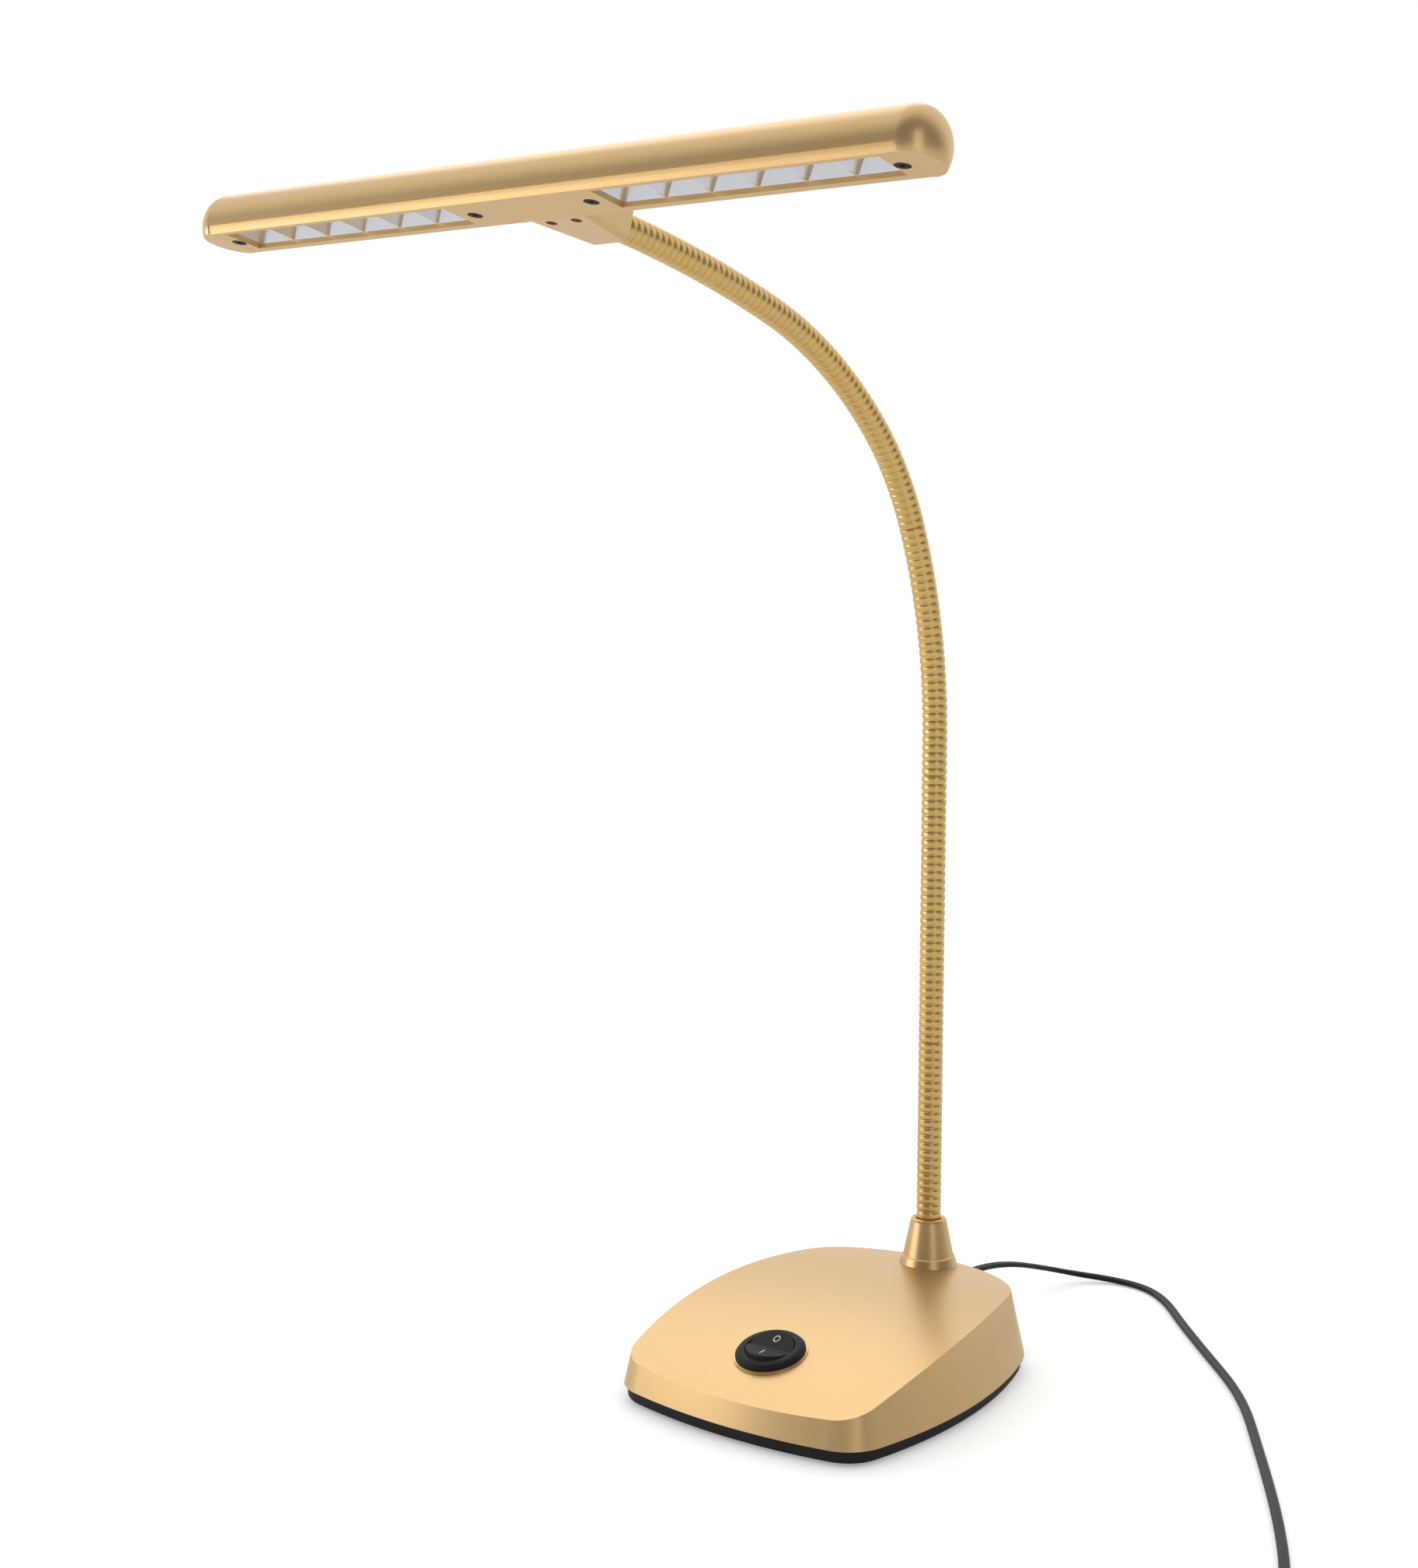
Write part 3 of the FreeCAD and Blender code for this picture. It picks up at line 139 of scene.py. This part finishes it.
# Camera fitted to the photo: its place, its focal length in pixels at the photo's width, and its turns in degrees
CAMERA_PLACE = (0.4238, -0.57011, 0.2815)
FOCAL_PIXELS = 2950.0
PHOTO_WIDTH = 1823.0
SENSOR_WIDTH = 36.0
CAMERA_ROUND = 38.0
CAMERA_DOWN = 6.11
CAMERA_ROLL = 0.139
VIEW_DEPTH = 50.0


class LampSettings(bpy.types.PropertyGroup):
    """Sizes and colours of the dressed lamp."""

    paint: bpy.props.StringProperty(
        name="Paint", description="Champagne gold paint, sRGB", default="CDA972")
    paint_light: bpy.props.StringProperty(
        name="Paint flecks", description="Lighter flecks in the paint", default="D9B988")
    neck: bpy.props.StringProperty(
        name="Neck", description="Gold of the gooseneck, sRGB", default="CBA763")
    plastic: bpy.props.StringProperty(
        name="Plastic", description="Black plastic, sRGB", default="110E0F")
    lead: bpy.props.StringProperty(
        name="Lead", description="Lead sheath, sRGB", default="08090A")
    mark: bpy.props.StringProperty(
        name="Marks", description="Marks on the rocker, sRGB", default="C9C6CC")
    roughness: bpy.props.FloatProperty(
        name="Paint roughness", description="Roughness of the paint", default=0.34, min=0.0, max=1.0)
    edge: bpy.props.FloatProperty(
        name="Edge round", description="Round on the edges of the pieces", default=0.0004, unit="LENGTH")
    lead_width: bpy.props.FloatProperty(
        name="Lead width", description="Width of the flat twin lead", default=0.0032, unit="LENGTH")
    lead_height: bpy.props.FloatProperty(
        name="Lead height", description="Height of the flat twin lead", default=0.0018, unit="LENGTH")
    coil_radius: bpy.props.FloatProperty(
        name="Coil radius", description="Radius of the outermost loop", default=0.0231, unit="LENGTH")
    coil_pitch: bpy.props.FloatProperty(
        name="Coil pitch", description="Step between loops side by side", default=0.0037, unit="LENGTH")
    coil_rise: bpy.props.FloatProperty(
        name="Coil rise", description="Step between layers of the coil", default=0.00195, unit="LENGTH")
    neck_radius: bpy.props.FloatProperty(
        name="Neck radius", description="Radius over the ribs", default=0.0043, unit="LENGTH")
    groove_depth: bpy.props.FloatProperty(
        name="Groove depth", description="Depth of a groove between ribs", default=0.0005, unit="LENGTH")
    rib_pitch: bpy.props.FloatProperty(
        name="Rib pitch", description="Step from rib to rib", default=0.00275, unit="LENGTH")
    mark_place: bpy.props.FloatProperty(
        name="Mark place", description="Distance of a mark from the pivot", default=0.0042, unit="LENGTH")


def settings():
    return bpy.context.scene.lamp_settings


def srgb(code):
    """Linear colour from a six-digit sRGB code."""
    parts = [int(code[i:i + 2], 16) / 255.0 for i in (0, 2, 4)]
    linear = [c / 12.92 if c <= 0.04045 else ((c + 0.055) / 1.055) ** 2.4 for c in parts]
    return (*linear, 1.0)


def add_node(tree, kind, sockets=None, **values):
    """Adds a node. Values are its own settings; sockets maps an input to its value or to the output that feeds it."""
    node = tree.nodes.new(kind)
    for name, value in values.items():
        setattr(node, name, value)
    for socket, value in (sockets or {}).items():
        if isinstance(value, bpy.types.NodeSocket):
            tree.links.new(value, node.inputs[socket])
        else:
            node.inputs[socket].default_value = value
    return node


def new_material(name, code, metallic, roughness, specular=0.5):
    """A Principled material in one sRGB colour."""
    material = bpy.data.materials.new(name)
    material.use_nodes = True
    shader = material.node_tree.nodes["Principled BSDF"]
    shader.inputs["Base Color"].default_value = srgb(code)
    shader.inputs["Metallic"].default_value = metallic
    shader.inputs["Roughness"].default_value = roughness
    shader.inputs["Specular IOR Level"].default_value = specular
    return material


def grained(name, dark, light, metallic, roughness, cells, bump, specular=0.5):
    """A material with fine flecks of a second colour and a fine grain."""
    material = new_material(name, dark, metallic, roughness, specular)
    tree = material.node_tree
    shader = tree.nodes["Principled BSDF"]
    place = add_node(tree, "ShaderNodeTexCoord")
    noise = add_node(tree, "ShaderNodeTexNoise",
                     {"Vector": place.outputs["Object"], "Scale": cells, "Detail": GRAIN_DETAIL}).outputs["Fac"]
    mix = add_node(tree, "ShaderNodeMix", {"Factor": noise, 6: srgb(dark), 7: srgb(light)}, data_type="RGBA")
    tree.links.new(mix.outputs[2], shader.inputs["Base Color"])
    relief = add_node(tree, "ShaderNodeBump", {"Height": noise, "Strength": bump, "Distance": GRAIN_HEIGHT})
    tree.links.new(relief.outputs["Normal"], shader.inputs["Normal"])
    return material


def dress(material, *names, edge=0.0):
    """Gives nodes a material and, where asked, a rounded edge."""
    for name in names:
        piece = NODES[name]
        piece.data.materials.clear()
        piece.data.materials.append(material)
        if edge:
            bevel = piece.modifiers.new("Edge", "BEVEL")
            bevel.width = edge
            bevel.segments = 2
            bevel.limit_method = "ANGLE"
            bevel.angle_limit = EDGE_ANGLE
            bevel.harden_normals = True


def satin_paint(name, own):
    """Satin metallic paint: a soft broad shine, light where it faces the backdrop, with fine flecks."""
    return grained(name, own.paint, own.paint_light, 0.8, own.roughness, PAINT_GRAIN, 0.06)


class LAMP_OT_base(bpy.types.Operator):
    """Paints the base, the ferrule and the pieces inside the base."""

    bl_idname = "lamp.base"
    bl_label = "Base"

    def execute(self, context):
        own = settings()
        dress(satin_paint("Satin_gold_paint", own), "base_shell", "neck_ferrule", edge=own.edge)
        # Moulded ABS with a spark-eroded skin: a dull black that hardly shines
        plastic = grained("Black_ABS", own.plastic, "181516", 0.0, 0.55, PLASTIC_GRAIN, 0.1, specular=0.25)
        dress(plastic, "base_plate", "switch_bezel", "switch_rocker", "adapter_body", "board_parts", edge=own.edge)
        # Moulded rubber: soft and without shine
        dress(new_material("Rubber_feet", "161616", 0.0, 0.8), "rubber_feet")
        # Sand-cast iron: dark, rough and blotchy
        iron = grained("Cast_iron", "2F2F31", "3C3C3E", 0.6, 0.6, CASTING_GRAIN, 0.3)
        dress(iron, "ballast_block")
        # Bright zinc plating on turned steel: a clear grey shine
        dress(new_material("Zinc_plated_steel", "8E8E90", 1.0, 0.32),
              "base_screws", "ballast_screws", "neck_stud", "neck_washer", "neck_nut")
        # Rolled and stamped brass: a clear yellow shine
        dress(new_material("Brass", "C8A35A", 1.0, 0.3), "switch_terminals", "adapter_pins")
        # Glass-fibre board under green varnish, smooth
        dress(new_material("Circuit_board", "1F5A33", 0.0, 0.4), "driver_board")
        # Moulded nylon: milky, half dull
        dress(new_material("White_nylon", "E4E3DE", 0.0, 0.5), "board_spacers")
        return {"FINISHED"}


def neck_at(along):
    """Point in metres on the neck's centreline at a length in millimetres from the ferrule's top."""
    y = 0.0
    z = NECK_FOOT + min(along, 0.0)
    turn = 0.0
    left = max(along, 0.0)
    for length, bend in NECK_RUNS:
        part = min(left, length)
        if bend:
            radius = length / math.radians(bend)
            end = turn + math.radians(bend) * part / length
            y += radius * (math.cos(turn) - math.cos(end))
            z += radius * (math.sin(end) - math.sin(turn))
            turn = end
        else:
            z += part
        left -= part
        if left <= 0:
            break
    return Vector((0, NECK_Y - y, z)) * MM


def rib_tree(material):
    """Geometry Nodes: a curve becomes a tube whose radius falls to a groove once for each rib."""
    tree = bpy.data.node_groups.new("Ribbed_tube", "GeometryNodeTree")
    face = tree.interface
    face.new_socket("Geometry", in_out="INPUT", socket_type="NodeSocketGeometry")
    for name in ("Ribs", "Sides"):
        face.new_socket(name, in_out="INPUT", socket_type="NodeSocketInt")
    for name in ("Radius", "Groove"):
        face.new_socket(name, in_out="INPUT", socket_type="NodeSocketFloat")
    face.new_socket("Geometry", in_out="OUTPUT", socket_type="NodeSocketGeometry")
    given = add_node(tree, "NodeGroupInput").outputs
    math_node = "ShaderNodeMath"

    # Rings along the whole line
    rings = add_node(tree, math_node, {0: given["Ribs"], 1: STEPS_PER_RIB}, operation="MULTIPLY")
    count = add_node(tree, math_node, {0: rings.outputs[0], 1: 1}, operation="ADD")
    curve = add_node(tree, "GeometryNodeResampleCurve", {"Curve": given["Geometry"], "Count": count.outputs[0]})
    # Place within the own rib, 0 to 1, then -1 to 1, then 1 in a narrow band at both ends
    share = add_node(tree, "GeometryNodeSplineParameter")
    spread = add_node(tree, math_node, {0: share.outputs["Factor"], 1: given["Ribs"]}, operation="MULTIPLY")
    nudged = add_node(tree, math_node, {0: spread.outputs[0], 1: RIB_NUDGE}, operation="ADD")
    within = add_node(tree, math_node, {0: nudged.outputs[0]}, operation="FRACT")
    doubled = add_node(tree, math_node, {0: within.outputs[0], 1: 2}, operation="MULTIPLY")
    centred = add_node(tree, math_node, {0: doubled.outputs[0], 1: 1}, operation="SUBTRACT")
    distance = add_node(tree, math_node, {0: centred.outputs[0]}, operation="ABSOLUTE")
    edge = add_node(tree, math_node, {0: distance.outputs[0], 1: GROOVE_POWER}, operation="POWER")
    fall = add_node(tree, math_node, {0: edge.outputs[0], 1: given["Groove"]}, operation="MULTIPLY")
    radius = add_node(tree, math_node, {0: given["Radius"], 1: fall.outputs[0]}, operation="SUBTRACT")
    ring = add_node(tree, "GeometryNodeCurvePrimitiveCircle", {"Resolution": given["Sides"], "Radius": 1.0})
    tube = add_node(tree, "GeometryNodeCurveToMesh", {
        "Curve": curve.outputs["Curve"], "Profile Curve": ring.outputs["Curve"], "Scale": radius.outputs[0]})
    smooth = add_node(tree, "GeometryNodeSetShadeSmooth", {"Geometry": tube.outputs["Mesh"]})
    whole = add_node(tree, "GeometryNodeRealizeInstances", {"Geometry": smooth.outputs[0]})
    paint = add_node(tree, "GeometryNodeSetMaterial", {"Geometry": whole.outputs[0], "Material": material})
    add_node(tree, "NodeGroupOutput", {0: paint.outputs[0]})
    return tree


def ribbed_section(name, tree, start, ribs, own):
    """One section of the neck as a plain mesh, made by the rib tree."""
    pitch = own.rib_pitch / MM
    count = ribs * LINE_POINTS_PER_RIB
    curve = bpy.data.curves.new(name + "_line", "CURVE")
    curve.dimensions = "3D"
    spline = curve.splines.new("POLY")
    spline.points.add(count)
    for number, point in enumerate(spline.points):
        point.co = (*neck_at(start + ribs * pitch * number / count), 1.0)
    line = bpy.data.objects.new(name + "_line", curve)
    bpy.context.collection.objects.link(line)
    nodes = line.modifiers.new("Ribs", "NODES")
    nodes.node_group = tree
    values = {"Ribs": ribs, "Sides": RIB_SIDES, "Radius": own.neck_radius, "Groove": own.groove_depth}
    for item in tree.interface.items_tree:
        if item.in_out == "INPUT" and item.name in values:
            nodes[item.identifier] = values[item.name]
    bpy.context.view_layer.update()
    whole = line.evaluated_get(bpy.context.evaluated_depsgraph_get())
    mesh = bpy.data.meshes.new_from_object(whole)
    bpy.data.objects.remove(line)
    return mesh


class LAMP_OT_neck(bpy.types.Operator):
    """Makes the gooseneck in sections that run from the middle of one body to the middle of the next, and finishes
    the leads in them.
    """

    bl_idname = "lamp.neck"
    bl_label = "Neck"

    def execute(self, context):
        own = settings()
        # Wound steel strip under clear gold lacquer: each rib has its own narrow bright line
        finish = grained("Gold_lacquered_steel", own.neck, "DDBB78", 0.85, 0.3, PAINT_GRAIN, 0.04)
        pitch = own.rib_pitch / MM
        middles = [(low + high) / 2 for low, high in zip(KNUCKLES, KNUCKLES[1:])] + [NECK_LENGTH]
        tree = rib_tree(finish)
        start = NECK_START
        for number, knuckle in enumerate(KNUCKLES):
            ribs = int((middles[number] - start) / pitch)
            name = "gooseneck_%d" % (number + 1)
            piece = bpy.data.objects.new(name, ribbed_section(name, tree, start, ribs, own))
            context.collection.objects.link(piece)
            reach = BEND_REACH[number]
            tuple(neck_at(knuckle - reach))
            tuple(neck_at(knuckle + reach))
            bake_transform(piece)
            stretches = ["neck_stretch_%d" % (number + 1)]
            if knuckle == KNUCKLES[-1]:
                stretches.append("neck_stretch_%d" % (number + 2))
            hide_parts(*stretches)
            start += ribs * pitch
        # Extruded PVC, hidden in the lamp
        sheath = new_material("Inner_lead_PVC", "191919", 0.0, 0.5)
        dress(sheath, "base_leads", "head_lead", *["neck_lead_%d" % number for number in range(1, 8)])
        return {"FINISHED"}


class LAMP_OT_head(bpy.types.Operator):
    """Finishes the bar head, its reflectors, lamps and screws."""

    bl_idname = "lamp.head"
    bl_label = "Head"

    def execute(self, context):
        own = settings()
        dress(satin_paint("Satin_gold_head", own), "head_housing", "end_cap_left", "end_cap_right", "head_bracket",
              edge=own.edge)
        # The same paint on a moulded cover: duller, since less of its flake lies flat
        cover = grained("Gold_painted_cover", "CCA66C", "D8B780", 0.6, 0.4, PAINT_GRAIN, 0.06)
        dress(cover, "head_cover", edge=own.edge)
        # Plastic with a vacuum-deposited aluminium skin: pale, between a mirror and satin
        dress(new_material("Metallised_reflector", "D4D5DB", 0.9, 0.22), "reflector_left", "reflector_right")
        # White solder mask: smooth and plain
        dress(new_material("White_solder_mask", "E9E9E4", 0.0, 0.4), "led_board_left", "led_board_right")
        # Silicone with yellow phosphor over each chip
        dress(new_material("LED_phosphor", "EFDC7A", 0.0, 0.3), "leds")
        # Near-black dull steel: painted shade, as dark as the shaded screw holes look, so the small heads read as
        # dark dots
        dress(new_material("Dark_steel_painted_shade", "161312", 0.0, 0.6, specular=0.2),
              "cover_screws", "bracket_screws", "head_screws")
        return {"FINISHED"}


def print_mark(name, side, place, ink, ring):
    """Prints a flat mark on one flat of the rocker's top: side 1 is the far one, -1 the near one."""
    mesh = bpy.data.meshes.new(name)
    build = bmesh.new()
    if ring:
        angles = [2 * math.pi * number / RING_SIDES for number in range(RING_SIDES)]
        inner, outer = [[build.verts.new((radius * math.cos(angle), RING_STRETCH * radius * math.sin(angle), 0))
                         for angle in angles] for radius in RING_RADII]
        for number in range(RING_SIDES):
            following = (number + 1) % RING_SIDES
            build.faces.new((inner[number], outer[number], outer[following], inner[following]))
    else:
        build.faces.new([build.verts.new((x * BAR_HALF_WIDTH, y * BAR_HALF_LENGTH, 0))
                         for x, y in ((-1, -1), (1, -1), (1, 1), (-1, 1))])
    bmesh.ops.recalc_face_normals(build, faces=build.faces)
    build.transform(Matrix.Translation(ROCKER_PIVOT) @ Matrix.Rotation(ROCKER_LEAN, 4, "X")
                    @ Matrix.Translation((0, 0, ROCKER_MIDDLE)) @ Matrix.Rotation(side * ROCKER_VEE, 4, "X")
                    @ Matrix.Translation((0, side * place, PRINT_LIFT)))
    build.to_mesh(mesh)
    build.free()
    mesh.materials.append(ink)
    piece = bpy.data.objects.new(name, mesh)
    bpy.context.collection.objects.link(piece)
    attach(piece, "rocker")


class LAMP_OT_marks(bpy.types.Operator):
    """Prints the on and off marks on the rocker."""

    bl_idname = "lamp.marks"
    bl_label = "Switch marks"

    def execute(self, context):
        own = settings()
        # Pad-printed ink, dull
        ink = new_material("White_print", own.mark, 0.0, 0.5)
        print_mark("mark_off", 1, own.mark_place, ink, ring=True)
        print_mark("mark_on", -1, own.mark_place, ink, ring=False)
        return {"FINISHED"}


def coil_points(own):
    """Points of the coil's loops, twelve for each turn, spiralling in and out in four layers."""
    heading = Vector((*COIL_HEADING, 0)).normalized()
    left = Vector((-heading.y, heading.x, 0))
    start = Vector((COIL_START[0], COIL_START[1] + NECK_Y, 0)) * MM
    radius = own.coil_radius
    centre = start + left * radius
    angle = math.atan2(-left.y, -left.x)
    height = own.lead_height / 2 + LEAD_LIFT
    points = []
    inward = True
    last_layer = len(COIL_LAYERS) - 1
    for layer, loops in enumerate(COIL_LAYERS):
        for number in range(loops):
            climbing = number == loops - 1 and layer < last_layer
            for step in range(STEPS_PER_HALF_LOOP):
                share = step / STEPS_PER_HALF_LOOP
                turn = angle + math.pi * share
                level = height + (own.coil_rise * share if climbing else 0.0)
                points.append(Vector((centre.x + radius * math.cos(turn), centre.y + radius * math.sin(turn), level)))
            angle += math.pi
            if climbing:
                inward = not inward
                height += own.coil_rise
            change = -own.coil_pitch / 2 if inward else own.coil_pitch / 2
            if layer < last_layer or number < loops - 1:
                centre -= Vector((math.cos(angle), math.sin(angle), 0)) * change
                radius += change
    end = Vector((centre.x + radius * math.cos(angle), centre.y + radius * math.sin(angle), height))
    points.append(end)
    return points, end, heading


def flat_profile(own):
    """Cross-section of the flat twin lead: two rounds with a groove between them."""
    curve = bpy.data.curves.new("lead_section", "CURVE")
    curve.dimensions = "2D"
    spline = curve.splines.new("POLY")
    half = own.lead_width / 4
    outline = []
    for side in (1, -1):
        for step in range(CORE_STEPS + 1):
            turn = math.radians(-CORE_SWEEP / 2 + CORE_SWEEP * step / CORE_STEPS)
            outline.append((side * (half + half * math.cos(turn)), side * own.lead_height / 2 * math.sin(turn)))
    # Clockwise, so that the sheath's faces point outwards
    outline.reverse()
    spline.points.add(len(outline) - 1)
    for point, (x, y) in zip(spline.points, outline):
        point.co = (x, y, 0, 1)
    spline.use_cyclic_u = True
    return bpy.data.objects.new("lead_section", curve)


class LAMP_OT_lead(bpy.types.Operator):
    """Lays the flat twin lead from the gland over the table to its coil and adapter."""

    bl_idname = "lamp.lead"
    bl_label = "Supply lead"

    def execute(self, context):
        own = settings()
        # Extruded PVC: black with a soft shine along the two cores
        sheath = grained("Black_PVC_sheath", own.lead, "0E0F11", 0.0, 0.42, SHEATH_GRAIN, 0.05, specular=0.3)
        route = [Vector((x, y + NECK_Y, z)) * MM for x, y, z in LEAD_START]
        loops, end, heading = coil_points(own)
        across = Vector((-heading.y, heading.x, 0))
        tail = []
        for along, sideways, height in LEAD_TAIL:
            spot = end + heading * along * MM + across * sideways * MM
            tail.append(Vector((spot.x, spot.y, height * MM)))
        points = route + loops + tail
        curve = bpy.data.curves.new("supply_lead", "CURVE")
        curve.dimensions = "3D"
        curve.twist_mode = "Z_UP"
        curve.resolution_u = 6
        spline = curve.splines.new("NURBS")
        spline.points.add(len(points) - 1)
        for knot, point in zip(spline.points, points):
            knot.co = (*point, 1.0)
        spline.order_u = 3
        spline.use_endpoint_u = True
        curve.bevel_mode = "OBJECT"
        curve.bevel_object = flat_profile(own)
        curve.use_fill_caps = True
        curve.materials.append(sheath)
        piece = bpy.data.objects.new("supply_lead", curve)
        context.collection.objects.link(piece)
        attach(piece, "base")
        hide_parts("cord_run", "cord_coil", "cord_tail")
        dress(sheath, "cord_gland", "adapter_relief")
        return {"FINISHED"}


def add_floor(collection):
    """A white floor that keeps the lamp's shadow; the camera sees it a little brighter than it is lit."""
    mesh = bpy.data.meshes.new("floor")
    mesh.from_pydata([(x * FLOOR_REACH, y * FLOOR_REACH, -FLOOR_DROP)
                      for x, y in ((-1, -1), (1, -1), (1, 1), (-1, 1))], [], [(0, 1, 2, 3)])
    floor = bpy.data.objects.new("floor", mesh)
    pale = new_material("Pale_floor", "FFFFFF", 0.0, 0.9, specular=0.0)
    tree = pale.node_tree
    shader = tree.nodes["Principled BSDF"]
    shader.inputs["Emission Color"].default_value = WHITE
    ray = add_node(tree, "ShaderNodeLightPath")
    glow = add_node(tree, "ShaderNodeMath", {0: ray.outputs["Is Camera Ray"], 1: FLOOR_GLOW}, operation="MULTIPLY")
    tree.links.new(glow.outputs[0], shader.inputs["Emission Strength"])
    mesh.materials.append(pale)
    collection.objects.link(floor)


def add_surroundings(scene):
    """Plain light all round. The camera sees white, and reflections see a backdrop and a dim room in front of it."""
    world = bpy.data.worlds.new("Surroundings")
    world.use_nodes = True
    scene.world = world
    tree = world.node_tree
    room = tree.nodes["Background"]
    room.inputs["Color"].default_value = WHITE
    room.inputs["Strength"].default_value = ROOM_LEVEL
    white = add_node(tree, "ShaderNodeBackground", {"Color": WHITE, "Strength": 1.0})
    place = add_node(tree, "ShaderNodeTexCoord")
    facing = add_node(tree, "ShaderNodeVectorMath", {0: place.outputs["Generated"], 1: BACKDROP_WAY},
                      operation="DOT_PRODUCT")
    ramp = add_node(tree, "ShaderNodeValToRGB", {"Fac": facing.outputs["Value"]})
    for element, (position, colour) in zip(ramp.color_ramp.elements, BACKDROP_RISE):
        element.position = position
        element.color = colour
    backdrop = add_node(tree, "ShaderNodeBackground", {"Color": ramp.outputs["Color"], "Strength": BACKDROP_LEVEL})
    ray = add_node(tree, "ShaderNodeLightPath").outputs
    lit = add_node(tree, "ShaderNodeMixShader", {"Fac": ray["Is Glossy Ray"], 1: room.outputs[0],
                                                 2: backdrop.outputs[0]})
    seen = add_node(tree, "ShaderNodeMixShader", {"Fac": ray["Is Camera Ray"], 1: lit.outputs[0],
                                                  2: white.outputs[0]})
    tree.links.new(seen.outputs[0], tree.nodes["World Output"].inputs["Surface"])


def add_softbox(collection, name, place, target, width, height, power):
    light = bpy.data.lights.new(name, "AREA")
    light.shape = "RECTANGLE"
    light.size = width
    light.size_y = height
    light.energy = power
    softbox = bpy.data.objects.new(name, light)
    softbox.location = place
    softbox.rotation_euler = (Vector(target) - Vector(place)).to_track_quat("-Z", "Y").to_euler()
    collection.objects.link(softbox)


def add_camera(scene, collection):
    """The photo's own viewpoint."""
    data = bpy.data.cameras.new("Camera")
    data.sensor_fit = "HORIZONTAL"
    data.sensor_width = SENSOR_WIDTH
    data.lens = SENSOR_WIDTH * FOCAL_PIXELS / PHOTO_WIDTH
    data.clip_end = VIEW_DEPTH
    camera = bpy.data.objects.new("Camera", data)
    collection.objects.link(camera)
    camera.location = CAMERA_PLACE
    turn = Matrix.Rotation(math.radians(CAMERA_ROUND), 4, "Z")
    turn = turn @ Matrix.Rotation(math.radians(90.0 - CAMERA_DOWN), 4, "X")
    camera.rotation_euler = (turn @ Matrix.Rotation(math.radians(CAMERA_ROLL), 4, "Z")).to_euler()
    scene.camera = camera


class LAMP_OT_stage(bpy.types.Operator):
    """Sets the floor, the surroundings, the soft lights and the camera."""

    bl_idname = "lamp.stage"
    bl_label = "Stage"

    def execute(self, context):
        context.scene.view_settings.view_transform = "Standard"
        add_floor(context.collection)
        add_surroundings(context.scene)
        for light in LIGHTS:
            add_softbox(context.collection, *light)
        add_camera(context.scene, context.collection)
        return {"FINISHED"}


STEPS = (LAMP_OT_stage, LAMP_OT_base, LAMP_OT_neck, LAMP_OT_head, LAMP_OT_marks, LAMP_OT_lead)


class LAMP_PT_panel(bpy.types.Panel):
    """Lists the settings and the steps that dress the lamp."""

    bl_label = "Piano lamp"
    bl_idname = "LAMP_PT_panel"
    bl_space_type = "VIEW_3D"
    bl_region_type = "UI"
    bl_category = "Piano lamp"

    def draw(self, context):
        for name in LampSettings.__annotations__:
            self.layout.prop(context.scene.lamp_settings, name)
        for step in STEPS:
            self.layout.operator(step.bl_idname)


def register():
    bpy.utils.register_class(LampSettings)
    bpy.types.Scene.lamp_settings = bpy.props.PointerProperty(type=LampSettings)
    for step in STEPS:
        bpy.utils.register_class(step)
    bpy.utils.register_class(LAMP_PT_panel)


def unregister():
    bpy.utils.unregister_class(LAMP_PT_panel)
    for step in reversed(STEPS):
        bpy.utils.unregister_class(step)
    del bpy.types.Scene.lamp_settings
    bpy.utils.unregister_class(LampSettings)


def main():
    register()
    bpy.ops.lamp.stage()
    bpy.ops.lamp.base()
    bpy.ops.lamp.neck()
    bpy.ops.lamp.head()
    bpy.ops.lamp.marks()
    bpy.ops.lamp.lead()


if __name__ == "__main__":
    main()
